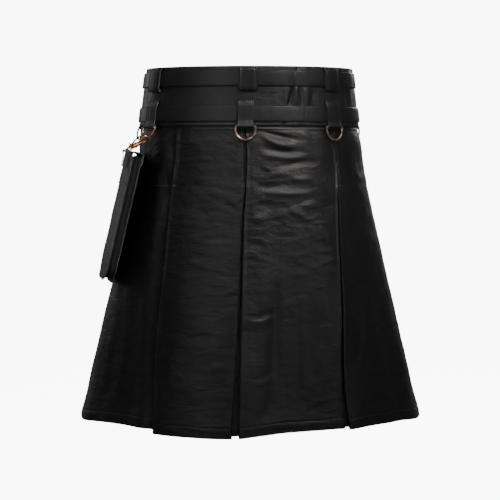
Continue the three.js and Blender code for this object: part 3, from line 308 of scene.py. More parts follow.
# Creases seen from behind: three points of a line by the photograph's pixels, half width and height in mm, and
# skew, which makes one flank steeper. A negative height is a trough.
BACK_CREASES = [
    # panel left of the centre
    (226, 199, 232, 203, 239, 207, 3.6, 1.5, 0.3), (224, 204, 230, 207, 237, 211, 3.6, -1.1, 0.2),
    (223, 295, 231, 292, 239, 290, 4.2, 1, -0.3), (225, 299, 232, 297, 239, 296, 4, -0.9, 0.1),
    (186, 183, 200, 187, 216, 186, 5, -1, 0.2), (206, 190, 222, 196, 236, 198, 5.5, 0.9, 0.2),
    (178, 204, 196, 211, 212, 212, 6, -1, 0), (180, 223, 194, 226, 206, 222, 5, 0.8, 0),
    (212, 236, 222, 239, 234, 237, 5, -1, 0.2), (176, 243, 190, 240, 206, 242, 5.5, 0.8, 0.2),
    (190, 262, 206, 266, 222, 264, 7, 0.8, 0), (218, 318, 228, 315, 237, 316, 4.4, 0.8, 0.2),
    (186, 342, 200, 338, 216, 341, 8, -0.8, -0.2), (205, 372, 218, 369, 230, 371, 7, 0.7, 0.3),
    # panel right of the centre, drag folds under the band
    (258, 127, 284, 131, 316, 127, 4.5, 1.8, 0.2), (259, 130, 281, 136, 302, 140, 4.6, -2.7, -0.2),
    (260, 133, 276, 144, 297, 147, 5, 2.8, 0.3), (297, 131, 305, 134, 312, 140, 4.6, 1.8, 0),
    (262, 146, 280, 152, 300, 151, 4.6, -2, 0), (262, 154, 282, 158, 304, 157, 5, 2, 0.2),
    (284, 167, 298, 163, 314, 162, 5, -1.9, 0), (262, 166, 267, 169, 273, 170, 3.8, 1.4, 0.2),
    (266, 178, 276, 174, 288, 175, 4.6, 1.8, 0.2), (290, 178, 301, 180, 312, 179, 4.6, 1.8, 0.2),
    (255, 183, 268, 188, 284, 186, 5.5, -1.9, 0), (262, 191, 286, 194, 313, 195, 5, 1.9, 0.2),
    (256, 204, 270, 207, 286, 204, 5.5, -1.4, 0), (290, 210, 299, 215, 308, 215, 5, 1.8, 0.2),
    (300, 206, 312, 205, 324, 206, 4.6, 1.4, 0.2), (249, 217, 255, 219, 262, 218, 4.6, 1.2, 0),
    (250, 246, 256, 245, 263, 246, 5, -1.6, 0), (318, 226, 326, 238, 334, 254, 6, 1.2, 0),
    # panel right of the centre, lower down
    (250, 319, 262, 317, 275, 313, 4.5, -1.3, 0.3), (251, 323, 262, 321, 272, 318, 4.5, 1, -0.3),
    (254, 381, 263, 378, 272, 374, 4.5, -1.2, 0.3), (255, 385, 264, 383, 272, 380, 4.5, 0.9, 0),
    (276, 290, 274, 345, 272, 400, 14, -3.4, 0.2), (272, 396, 268, 408, 262, 420, 9, -1.8, 0.2),
    (303, 300, 303, 350, 304, 396, 7, 1.2, 0.3), (283, 255, 282, 320, 284, 380, 9, 1.3, -0.2),
    (308, 408, 315, 404, 322, 400, 4.2, 1, 0.3), (309, 412, 316, 408, 323, 405, 4, -0.8, 0),
    (322, 262, 328, 310, 332, 360, 10, 1.2, 0),
    # panel on the right
    (352, 292, 361, 322, 360, 345, 11, -2.4, 0.3), (360, 345, 356, 360, 352, 372, 9, -1.6, 0),
    (364, 322, 366, 345, 363, 372, 9, 1, -0.2), (374, 296, 381, 293, 388, 290, 3.6, 1.9, 0.3),
    (374, 300, 381, 298, 388, 295, 3.6, -1.7, 0), (376, 328, 386, 325, 396, 320, 3.6, 2.2, 0.3),
    (378, 336, 388, 333, 397, 328, 3.6, 1.9, 0.3), (377, 332, 387, 329, 397, 324, 3.4, -1.9, 0),
    (374, 376, 390, 374, 410, 370, 3.6, 2, 0.2), (376, 380, 392, 378, 410, 375, 3.7, -1.9, 0),
    (363, 410, 368, 398, 386, 393, 3.9, 1.9, 0.3), (367, 412, 373, 402, 388, 398, 3.9, -1.7, 0),
    (336, 190, 350, 205, 360, 232, 10, 1.2, 0.2),
    # panel on the left
    (107, 351, 122, 350, 137, 352, 5, 0.7, 0.3), (108, 356, 122, 355, 136, 357, 5, -0.6, 0),
    (141, 262, 133, 330, 122, 396, 13, -1.8, 0), (120, 300, 110, 350, 102, 395, 13, 1.6, 0),
]

# Creases that the photograph doesn't show, in degrees and mm of height
OTHER_CREASES = [
    (100, -150, 112, -172, 120, -205, 10, 1.4, 0.3), (98, -168, 108, -196, 116, -232, 9, -1.2, 0),
    (132, -132, 140, -160, 150, -184, 10, 1.2, 0.2), (160, -128, 172, -150, 186, -166, 9, -1.2, 0.2),
    (196, -130, 208, -152, 216, -186, 11, 1.4, -0.3), (228, -140, 238, -168, 246, -204, 10, -1.1, 0),
    (106, -300, 109, -400, 112, -520, 15, 2.2, 0), (128, -320, 127, -420, 124, -560, 15, -2.4, 0.1),
    (148, -330, 149, -430, 150, -540, 14, 1.8, 0), (176, -300, 175, -420, 176, -560, 16, -1.8, 0),
    (206, -310, 207, -430, 209, -560, 15, 1.8, 0), (236, -330, 235, -440, 234, -560, 14, -1.8, 0),
    (118, -372, 124, -366, 131, -368, 4.4, 1.1, 0.3), (118, -379, 124, -374, 131, -376, 4.4, -1, 0),
    (163, -428, 170, -421, 177, -424, 4.4, 1.1, 0.3), (163, -436, 170, -430, 177, -432, 4.4, -1, 0),
    (190, -486, 196, -479, 203, -481, 4.4, 1, 0.3), (214, -352, 220, -347, 226, -351, 4.4, 1, 0.3),
    (214, -360, 220, -356, 226, -359, 4.4, -0.9, 0), (140, -512, 146, -505, 153, -507, 4.6, 1, 0.3),
    (241, -470, 247, -463, 254, -466, 4.4, 1, 0.2),
]


def settle(rows, where):
    """Each crease's line as nine points in degrees and mm, where(x, y) being one given point's angle and height."""
    f = np.linspace(0, 1, 9)[:, None]
    out = []
    for *given, wide, high, skew in rows:
        p0, p1, p2 = [np.array(where(*p)) for p in zip(given[::2], given[1::2])]
        bend = 2 * p1 - (p0 + p2) / 2
        out.append(((1 - f) ** 2 * p0 + 2 * f * (1 - f) * bend + f * f * p2, wide, high, skew))
    return out


CREASES = settle(BACK_CREASES, spot) + settle(OTHER_CREASES, lambda t, z: (t, z))


def crease_height(t, z):
    """Height of all creases at points of the skirt."""
    shape = t.shape
    t, z = (t.ravel() + 90) % 360 - 90, z.ravel()
    total = np.zeros(len(t))
    for given, half_width, high, skew in CREASES:
        pts = given.copy()
        pts[:, 0] = (pts[:, 0] + 90) % 360 - 90
        k = float(per_degree(*pts[4]))
        reach = 3.2 * half_width
        (t_low, z_low), (t_high, z_high) = pts.min(0), pts.max(0)
        near = (t > t_low - reach / k) & (t < t_high + reach / k) & (z > z_low - reach) & (z < z_high + reach)
        if not near.any():
            continue
        a, b = t[near] * k, z[near]
        best = np.full(len(a), 1e9)
        along, side = np.zeros(len(a)), np.zeros(len(a))
        pts = pts * (k, 1)
        for n, (p, d) in enumerate(zip(pts, np.diff(pts, axis=0))):
            f = np.clip(((a - p[0]) * d[0] + (b - p[1]) * d[1]) / (d @ d), 0, 1)
            gx, gy = a - p[0] - f * d[0], b - p[1] - f * d[1]
            dist = np.hypot(gx, gy)
            closer = dist < best
            best = np.where(closer, dist, best)
            along = np.where(closer, (n + f) / (len(pts) - 1), along)
            side = np.where(closer, np.sign(d[0] * gy - d[1] * gx), side)
        ends = np.sin(np.pi * np.clip(along * 0.92 + 0.04, 0, 1)) ** 0.8
        total[near] += high * hump(best, 0, half_width * (1 + skew * side)) * ends
    return total.reshape(shape)


def skirt_relief(t, z):
    """Swells and creases of the skirt, the same for all layers at a place, none at the band."""
    s = t * 3.6
    broad = 0.9 * noise(s / 46 + 7, z / 74, 0) + 0.5 * noise(s / 21, z / 38, 1)
    mottle = 0.16 * noise(s / 11, z / 5.5, 2) + 0.10 * noise(s / 5.5 + 3, z / 3.4, 3)
    ripple = 0.42 * noise(s / 19 + 5, z / 6.5, 4) * (0.3 + 0.7 * smooth(-120, -165, z) * (1 - smooth(-300, -380, z)))
    # The leather rolls out a little where it leaves the band's edge
    roll = 0.85 * hump(z, -104.2, 1.5) * (0.8 + 0.5 * noise(s / 26, z / 40, 2))
    return (broad + mottle + ripple + crease_height(t, z)) * smooth(-101, -118, z) + roll


# Gathers of the band: angle at the middle, lean in degrees per mm, half width and height in mm
GATHERS = [
    (19.6, 0.004, 4.5, 0.6), (22.2, 0.10, 2.4, -3.6), (25.0, 0.03, 3.4, 1.5), (28.0, -0.02, 2.8, -1.1),
    (31.4, 0.012, 4.2, 1.3), (35.4, -0.01, 5.0, -0.6), (13.4, 0.01, 6.0, 0.35), (64.0, 0.01, 6.0, -0.7),
    (69.5, -0.02, 5.0, 0.6), (-21.0, 0.012, 7.0, 0.35), (-68.0, 0.012, 6.0, -0.6), (-77.0, -0.012, 6.0, 0.6),
    (86.0, 0.015, 6.0, 0.7), (-92.0, 0.01, 5.0, -0.7), (131.0, 0.01, 6.0, 0.6), (150.0, -0.01, 6.0, -0.6),
    (-128.0, 0.02, 5.0, 0.6), (-146.0, 0.0, 6.0, -0.6),
]


def band_relief(t, z):
    """The band's gathers at its right rear, slack between the straps, and its gentle unevenness."""
    slack = smooth(-33, -40, z) * (1 - smooth(-60, -66, z))
    free = np.maximum(np.maximum(slack, 0.45 * (1 - smooth(-5, -7.6, z))), 0.5 * smooth(-92, -95, z))
    k = 2.9
    folds = sum(high * hump((t - at - lean * (z + 50)) * k, 0, wide) for at, lean, wide, high in GATHERS)
    soft = 0.22 * noise(t * k / 16, z / 30, 4) + 0.10 * noise(t * k / 5, z / 9, 5)
    return folds * free + np.minimum(folds, 0.0) * (1 - free) * 0.35 + soft * (0.35 + 0.65 * free)


def place(t, z, out):
    """A point on the wrinkled skirt."""
    t, z, out = np.broadcast_arrays(*[np.asarray(v, float) for v in (t, z, out)])
    return base(t, z, out + np.where(z < -100, skirt_relief(t, z), 0.0))


# Mesh making

def add_mesh(name, verts, faces, material, slot, body=BODY, replaces=(), sharp=38.0, edge_grey_and_highlight=None):
    mesh = bpy.data.meshes.new(name)
    mesh.from_pydata((np.asarray(verts) * MM).tolist(), [], [list(map(int, f)) for f in faces])
    mesh.validate()
    mesh.shade_smooth()
    mesh.set_sharp_from_angle(angle=sharp * RAD)
    mesh.materials.append(material)
    if edge_grey_and_highlight:
        # The sheet's raw edge joins its two faces, whose points are the first and second half of the list. Its light
        # grey is partly painted highlight.
        half = len(verts) // 2
        corners = np.asarray(faces)
        wall = (corners.min(1) < half) & (corners.max(1) >= half)
        mesh.materials.append(edge_grey_and_highlight)
        mesh.polygons.foreach_set("material_index", wall.astype(np.int32))
    obj = bpy.data.objects.new(name, mesh)
    bpy.context.scene.collection.objects.link(obj)
    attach(obj, body)
    if replaces:
        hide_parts(*replaces)


def shell(node, outer, inner, material, slot, wrap=False, holes=None, edge_grey_and_highlight=None):
    """A closed sheet between two grids of points, [rows, columns, 3], with cells left out, in a CAD node's place."""
    rows, cols = outer.shape[:2]
    verts = np.concatenate([outer.reshape(-1, 3), inner.reshape(-1, 3)])
    shift = rows * cols
    j, i = np.meshgrid(np.arange(rows - 1), np.arange(cols if wrap else cols - 1), indexing="ij")
    j, i = j.ravel(), i.ravel()
    if holes is not None:
        keep = ~holes[j, i]
        j, i = j[keep], i[keep]
    i2 = (i + 1) % cols
    quads = np.stack([j * cols + i, (j + 1) * cols + i, (j + 1) * cols + i2, j * cols + i2], 1)
    edges = np.concatenate([quads[:, [n, (n + 1) % 4]] for n in range(4)])
    lone = ~np.isin(edges[:, 0] * shift + edges[:, 1], edges[:, 1] * shift + edges[:, 0])
    a, b = edges[lone].T
    faces = np.concatenate([quads, quads[:, ::-1] + shift, np.stack([b, a, a + shift, b + shift], 1)])
    used, faces = np.unique(faces, return_inverse=True)
    verts, faces = verts[used], faces.reshape(-1, 4)
    p = verts[faces]
    volume = sum(np.einsum("ij,ij->i", p[:, 0], np.cross(p[:, n], p[:, n + 1])).sum() for n in (1, 2))
    add_mesh(node + "_shell", verts, faces if volume > 0 else faces[:, ::-1], material, slot, replaces=[node],
             edge_grey_and_highlight=edge_grey_and_highlight)


def thicken(a, o, thickness):
    """Both faces of a line of points in a plane, (outer a, outer o, inner a, inner o), and its direction outward."""
    da = np.gradient(a, axis=-1)
    do = np.gradient(o, axis=-1)
    length = np.hypot(da, do)
    na, no = -do / length, da / length
    half = thickness / 2
    return a + na * half, o + no * half, a - na * half, o - no * half, na, no


def travelled(steps):
    """The way covered at each point of a line, from its steps."""
    return np.concatenate([[0], np.cumsum(steps)])


def soften(path, step, window):
    """A path of two columns with its corners averaged over a short length: both columns, and the way along it."""
    path = np.array(path, float)
    way = travelled(np.hypot(*np.diff(path, axis=0).T))
    count = int(way[-1] / step)
    s, fine = np.linspace(0, way[-1], count), np.linspace(0, way[-1], count * 6)
    kernel = np.hanning(window)
    kernel /= kernel.sum()
    columns = []
    for values in path.T:
        raw = np.pad(np.interp(fine, way, values), window // 2, mode="edge")
        columns.append(np.interp(s, fine, np.convolve(raw, kernel, "valid")))
    return *columns, s


# Materials

def set_up(node, *by_index, **by_name):
    """Sets a node's settings and inputs. Another node, or its output, is linked."""
    for key, value in [*enumerate(by_index), *by_name.items()]:
        if isinstance(key, str) and hasattr(node, key):
            setattr(node, key, value)
            continue
        socket = node.inputs[key.replace("_", " ") if isinstance(key, str) else key]
        if isinstance(value, bpy.types.Node):
            value = value.outputs[0]
        if isinstance(value, bpy.types.NodeSocket):
            node.id_data.links.new(value, socket)
        elif value is not None:
            socket.default_value = value
    return node


def put(near, kind, *by_index, **by_name):
    """A new node in the tree of another."""
    return set_up(near.id_data.nodes.new("ShaderNode" + kind), *by_index, **by_name)


def new_material(name):
    material = bpy.data.materials.new(name)
    material.use_nodes = True
    material.node_tree.nodes.clear()
    shader = material.node_tree.nodes.new("ShaderNodeBsdfPrincipled")
    put(shader, "OutputMaterial", shader)
    return material, shader, put(shader, "TexCoord").outputs["Object"]


def ramp(near, source, stops):
    node = put(near, "ValToRGB", source)
    while len(node.color_ramp.elements) < len(stops):
        node.color_ramp.elements.new(0.5)
    for element, (at, color) in zip(node.color_ramp.elements, stops):
        element.position = at
        element.color = (*color, 1)
    return node


def bumps(near, rows):
    """One bump on the other, each (height, strength, distance in m)."""
    normal = None
    for height, strength, distance in rows:
        normal = put(near, "Bump", Strength=strength, Distance=distance, Height=height, Normal=normal)
    return normal


PEBBLE = 620.0


def leather(name, dark, light, smoothest, roughest, grain=1.0, specular=0.32, warm=None, crinkle=0.0):
    """Black leather: lying creases, pebbled grain, fine pores, scuffed colour and uneven sheen."""
    material, shader, coords = new_material(name)
    broad = put(shader, "TexNoise", coords, Scale=9.0, Detail=5.0, Roughness=0.62)
    fine = put(shader, "TexNoise", coords, Scale=95.0, Detail=6.0, Roughness=0.65)
    cells = put(shader, "TexVoronoi", coords, feature="SMOOTH_F1", Scale=PEBBLE, Smoothness=0.55)
    edge = put(shader, "TexVoronoi", coords, feature="DISTANCE_TO_EDGE", Scale=PEBBLE * 0.83)
    pores = put(shader, "TexNoise", coords, Scale=2100.0, Detail=3.0)
    wide = put(shader, "Mapping", coords, Scale=(1, 1, 2.6))
    lying = put(shader, "TexNoise", wide, Scale=24.0, Detail=6.0, Roughness=0.6, Distortion=0.7)
    scuffs = put(shader, "Math", fine, 0.45, put(shader, "Math", broad, 0.55, operation="MULTIPLY"),
                 operation="MULTIPLY_ADD")
    stops = [(0.34, dark), (0.52, light), (0.68, warm)] if warm else [(0.36, dark), (0.64, light)]
    sheen = put(shader, "MapRange", scuffs, From_Min=0.32, From_Max=0.68, To_Min=smoothest, To_Max=roughest)
    normal = bumps(shader, [(lying, crinkle, 0.0024), (fine, 0.5 * grain, 0.0011), (cells, 0.42 * grain, 0.00028),
                            (edge, 0.35 * grain, 0.0002), (pores, 0.2 * grain, 0.0001)])
    set_up(shader, Base_Color=ramp(shader, scuffs, stops), Roughness=sheen, Specular_IOR_Level=specular, Normal=normal)
    return material


def copper(name, bright, dull, dark, rough):
    """Antique copper plate: rubbed highlights, brown patina, fine scratches."""
    material, shader, coords = new_material(name)
    patches = put(shader, "TexNoise", coords, Scale=130.0, Detail=5.0, Roughness=0.6)
    scratch = put(shader, "TexNoise", coords, Scale=900.0, Detail=3.0)
    set_up(shader, Metallic=1.0, Base_Color=ramp(shader, patches, [(0.34, dark), (0.5, dull), (0.66, bright)]),
         Roughness=put(shader, "MapRange", patches, To_Min=rough + 0.2, To_Max=rough - 0.08),
         Normal=bumps(shader, [(scratch, 0.25, 0.00015)]))
    return material


def thread_material():
    """Waxed black thread, twisted."""
    material, shader, coords = new_material("thread")
    twist = put(shader, "TexNoise", coords, Scale=1500.0, Detail=2.0)
    set_up(shader, Base_Color=ramp(shader, twist, [(0.3, (0.012, 0.012, 0.013)), (0.7, (0.04, 0.04, 0.042))]),
         Roughness=0.5, Normal=bumps(shader, [(twist, 0.5, 0.0002)]))
    return material


BLACK = (0.0012, 0.0012, 0.0013)
GREY = (0.0032, 0.0031, 0.0033)
BAND_BLACK = (0.0022, 0.0022, 0.0023)
SKIRT_LEATHER = leather("skirt_leather", BLACK, GREY, 0.34, 0.52, specular=0.28, crinkle=1.0)
SKIRT_WARM = leather("skirt_leather_warm", BLACK, (0.0034, 0.0031, 0.0032), 0.36, 0.54, specular=0.3,
                     warm=(0.0062, 0.0049, 0.0046), crinkle=0.6)
PLEAT_LEATHER = leather("pleat_leather", BLACK, (0.0030, 0.0030, 0.0031), 0.5, 0.65)
BAND_LEATHER = leather("band_leather", BAND_BLACK, (0.0064, 0.0062, 0.0064), 0.38, 0.54, crinkle=0.35)
STRAP_LEATHER = leather("strap_leather", BAND_BLACK, (0.0062, 0.0061, 0.0062), 0.36, 0.50, grain=0.7)
LOOP_LEATHER = leather("loop_leather", (0.0026, 0.0026, 0.0028), (0.0075, 0.0074, 0.0077), 0.33, 0.47, grain=0.7)
POCKET_LEATHER = leather("pocket_leather", BLACK, GREY, 0.38, 0.54, crinkle=0.4)
RING_COPPER = copper("ring_copper", (0.58, 0.37, 0.25), (0.36, 0.21, 0.14), (0.12, 0.07, 0.045), 0.28)
HOOK_COPPER = copper("hook_copper", (0.80, 0.40, 0.20), (0.60, 0.26, 0.12), (0.26, 0.11, 0.05), 0.26)
BUCKLE_COPPER = copper("buckle_copper", (0.74, 0.46, 0.34), (0.48, 0.27, 0.19), (0.19, 0.10, 0.07), 0.3)
# Light grey for the raw edges of loops, pocket, flap and tabs: partly the edge's own colour, partly a painted
# highlight for bright rim lines
RAW_EDGE_AND_PAINTED_HIGHLIGHT = leather("raw_edge_and_painted_highlight", (0.030, 0.0295, 0.030), (0.110, 0.107, 0.106), 0.34, 0.5, grain=0.4, specular=0.45)
THREAD = thread_material()


# Skirt

HEM_STITCH = 17.0
ROW_TOP = -88.0
NOMINAL_HEM = -602.0
STITCH_LOW = -197.0
FOLD_COLUMNS = 22


def at_band(z):
    return 1 - smooth(-101, -101 - TUCK_DROP, z)


def skirt_level(t, z):
    amount = mix(INSET_SKIRT, INSET_BAND, at_band(z))
    return -(BAND_T + TUCK_GAP) * at_band(z) - amount * smooth(INSET_FROM - INSET_LEAD, INSET_TO - INSET_LEAD, t)


def beneath(z):
    """How far the layer under a folded edge lies beneath the skirt's face."""
    gap = SEAM + 0.35 * smooth(-110, -240, z) + 0.6 * smooth(-240, -600, z)
    return 2 * SKIRT_T + curve(FOLD_GAPS, "gap", z) + gap


def line(name, z):
    if name.startswith("side"):
        return (SIDE_LINE if name == "side_right" else -SIDE_LINE) + 0 * z
    return curve(PLEAT_LINES[name], "t", z)


def slit(name, z):
    return 0 * z if name == "left" else curve(SLITS, name.split("_")[0], z)


def knife_level(t, z):
    """The left side panel's face: beneath the back panel as far as the knife pleat's line."""
    at = line("left", z)
    k = per_degree(at, z)
    return skirt_level(t, z) - beneath(z) * smooth(0, 1, (t - (at - 34 / k)) / (31 / k))


def row_heights():
    """Nominal heights of the rows, close together where the skirt leaves the band and at the hem."""
    parts = [np.linspace(ROW_TOP, -100, 4), np.arange(-101, -112.5, -0.9), np.linspace(-114, -124, 5),
             np.arange(-126, -578, -3.4), np.linspace(-579.5, NOMINAL_HEM, 30)]
    return np.concatenate(parts)[:, None]


def skirt_shell(node, t, o, rise, hem, material, relief, turn_up, slot):
    """A skirt piece from its centre line: t and o are [rows, columns], rise and turn_up are per column."""
    f = (row_heights() - ROW_TOP) / (NOMINAL_HEM - ROW_TOP)
    low = hem(t) + rise[None, :]
    z = ROW_TOP + f * (low - ROW_TOP)
    k = per_degree(t, z)
    a = np.cumsum(np.diff(t, axis=1, prepend=t[:, :1]) * (k + np.roll(k, 1, 1)) / 2, 1)
    a = a - a[:, t.shape[1] // 2, None]
    oa, oo, ia, io, _, _ = thicken(a, o, SKIRT_T)
    t_out, t_in = t + (oa - a) / k, t + (ia - a) / k
    above = z - low
    # The hem is turned up inside and stitched: a step in thickness, a groove at the stitches, a rounded edge
    up = turn_up[None, :]
    groove = -0.45 * hump(above, HEM_STITCH, 1.2) + 0.28 * hump(above, HEM_STITCH - 5, 4.5)
    groove = groove + 0.22 * hump(above, HEM_STITCH + 3.6, 2.4)
    edge = np.exp(-above / 1.1)
    outer = place(t_out, z, oo + up * (groove - 0.75 * edge) + relief(t_out, z))
    inner = place(t_in, z, io - up * (1.35 * (1 - smooth(HEM_STITCH - 1, HEM_STITCH + 2, above)) - 1.2 * edge))
    shell(node, outer, inner, material, slot)


def edge_line(end, side, z):
    """A panel's edge: beside a pleat's line, half the slit away, or a plain function of height."""
    if callable(end[0]):
        return end[0](z)
    at = line(end[0], z)
    return at + side * slit(end[0], z) / per_degree(at, z)


def folded_ends(start, stop):
    """The panel's folded ends with their side: 1 at the start, -1 at the stop."""
    return [(*end, side) for end, side in ((start, 1), (stop, -1)) if not callable(end[0])]


def panel_shell(node, start, stop, level, hem, material):
    z = row_heights()
    radius = (SKIRT_T + curve(FOLD_GAPS, "gap", z)) / 2

    def mid(t):
        return level(t, z) - SKIRT_T / 2

    edges, folds = [], []
    for end, side in ((start, 1), (stop, -1)):
        edge, fold = edge_line(end, side, z), []
        if not callable(end[0]):
            at = line(end[0], z)
            k = per_degree(at, z)
            edge = edge + side * (SKIRT_T / 2 + radius) / k
            # A half turn, then the part turned under
            for a in np.radians(np.arange(75, -91, -15)):
                fold.append((edge - side * radius * np.cos(a) / k, mid(edge) - radius + radius * np.sin(a), 0))
            for f in np.linspace(0.06, 1, 10):
                t = mix(edge, at + side * FOLD_DEPTH / k, f)
                fold.append((t, mid(t) - 2 * radius, RETURN_RISE * f))
        edges.append(edge)
        folds.append(fold)
    first, last = edges
    count = int(np.abs((last - first) * per_degree((first + last) / 2, z)).max() / 3.6)
    face = [mix(first, last, f) for f in np.linspace(0, 1, count)]
    t, o, rise = zip(*folds[0][::-1], *[(t, mid(t), 0) for t in face], *folds[1])
    t, o = np.concatenate(t, 1), np.concatenate(o, 1)
    shown, turn_up = np.ones((2, t.shape[1]))
    if folds[0]:
        shown[:FOLD_COLUMNS], turn_up[:FOLD_COLUMNS] = 0, np.linspace(0, 1, FOLD_COLUMNS) * 0.4
    if folds[1]:
        shown[-FOLD_COLUMNS:], turn_up[-FOLD_COLUMNS:] = 0, np.linspace(1, 0, FOLD_COLUMNS) * 0.4

    def relief(angle, height):
        """A pressed ridge along each fold, and the groove of its stitches."""
        total = np.zeros(np.broadcast(angle, height).shape)
        for name, offset, depth, side in folded_ends(start, stop):
            at = line(name, height)
            away = (angle - at) * side * per_degree(at, height)
            pressed = 0.5 + 0.5 * smooth(-110, -150, height) + 0.25 * noise(height / 37, height / 90, 5)
            total += pressed * hump(away - slit(name, height), 2.1, 1.6)
            total -= smooth(STITCH_LOW - 2, STITCH_LOW + 6, height) * depth * hump(away, offset, 1.2)
        return total * shown[None, :]

    skirt_shell(node, t, o, np.array(rise, float), lambda angle: curve(HEMS[hem], "z", angle), material, relief,
                turn_up, "skirt_leather")


# Each panel: node, both ends, face, hem and leather. An end is a pleat's line with its stitches' distance from the
# fold and their groove's depth in mm, or a plain function of height.
SKIRT_PANELS = [
    ("panel_back_left", ("left", 7.0, 0.5), ("back", 5.2, 0.9), skirt_level, "back_left", SKIRT_LEATHER),
    ("panel_back_right", ("back", 4.4, 0.5), ("right", 5.0, 0.4), skirt_level, "back_right", SKIRT_WARM),
    ("panel_side_left", ("side_left", 5.0, 0.4),
     (lambda z: line("left", z) + FOLD_DEPTH / per_degree(line("left", z), z),), knife_level, "side_left",
     SKIRT_LEATHER),
    ("panel_side_right", ("right", 5.0, 0.5), ("side_right", 5.0, 0.4), skirt_level, "side_right", SKIRT_WARM),
    ("apron_over", (lambda z: -OVERLAP_END + 0 * z,), ("side_left", 5.0, 0.4), skirt_level, "front", SKIRT_LEATHER),
    ("apron_under", ("side_right", 5.0, 0.4), (lambda z: OVERLAP_END + 0 * z,), skirt_level, "front", SKIRT_LEATHER),
]
for row in SKIRT_PANELS:
    panel_shell(*row)

# Underlays: line and height of the hem
for name, low in (("back", -605), ("right", -600), ("side_left", -604.4), ("side_right", -604)):
    z = row_heights()
    at = line(name, z)
    t = at + np.linspace(-1, 1, 25)[None, :] * FOLD_DEPTH / per_degree(at, z)
    columns = np.ones(t.shape[1])
    skirt_shell("pleat_" + name, t, skirt_level(t, z) - beneath(z) - SKIRT_T / 2, columns * RETURN_RISE,
                lambda angle: low + 0 * angle, PLEAT_LEATHER, lambda angle, height: 0.0, columns * 0.4,
                "pleat_leather")


# Waistband

BAND_SEAMS = (-3.4, -BAND_DEPTH + 3.4)


def band_face(t, z, ends=1.0):
    """The band's gathered face, kept flat where the aprons lie on each other."""
    relief = band_relief(t, z) * ends
    relief = np.where(t > INSET_FROM - 2, np.minimum(relief, 0.0), relief)
    return -INSET_BAND * smooth(INSET_FROM, INSET_TO, t) + np.where(t < -124, np.maximum(relief, -0.3), relief)


def band_shell():
    heights = graded(0, -BAND_DEPTH, (0.25, 0.9, 2), 62)
    t, z = np.broadcast_arrays(np.arange(-OVERLAP_END, OVERLAP_END + 0.01, 0.6)[None, :], heights[:, None])
    middle = band_face(t, z, 1 - smooth(OVERLAP_END - 6, OVERLAP_END, np.abs(t)))
    edge = np.exp(-np.minimum(-z, z + BAND_DEPTH) / 0.6)
    stitch = sum(-0.3 * hump(z, at, 0.9) + 0.12 * hump(z, at, 2.6) for at in BAND_SEAMS)
    shell("waistband", base(t, z, middle + stitch - 0.7 * edge), base(t, z, middle - BAND_T + 0.7 * edge),
          BAND_LEATHER, "band_leather")


band_shell()


# Strap belts

# Where the punched holes of the tails are, and the degrees over which each strap is gathered
STRAP_HOLES = (165.6, 174.2, 191.4, 200.0, 213.0)
STRAP_GATHERS = {"upper": (19, 34), "lower": (24, 40)}


def strap_middle(name):
    """A strap's middle height, and the mm in a degree at its buckle."""
    middle = sum(STRAPS[name]) / 2
    return middle, float(per_degree(180, middle))


def strap_relief(t, z, name):
    """Fine wrinkles across a strap where the band is gathered, and its slight waver."""
    k = 2.95
    which = list(STRAPS).index(name)
    z_off = z - strap_middle(name)[0]
    start, stop = STRAP_GATHERS[name]
    waver = 0.10 * noise(t * k / 9 + 5 * which, z / 16, 6)
    window = smooth(start - 3, start + 2, t) * (1 - smooth(stop - 3, stop + 3, t))
    drift = 0.6 * noise(t / 2.3, z / 14 + 4 * which, 8) + 0.02 * z_off
    pleats = np.sin(2 * math.pi * (t + drift) / 1.35) * (0.6 + 0.5 * noise(t / 1.7, z / 22, 9))
    deep = -0.45 * hump((t - start - 5 - 0.03 * z_off) * k, 0, 1.6)
    return waver + (0.17 * pleats + deep) * window


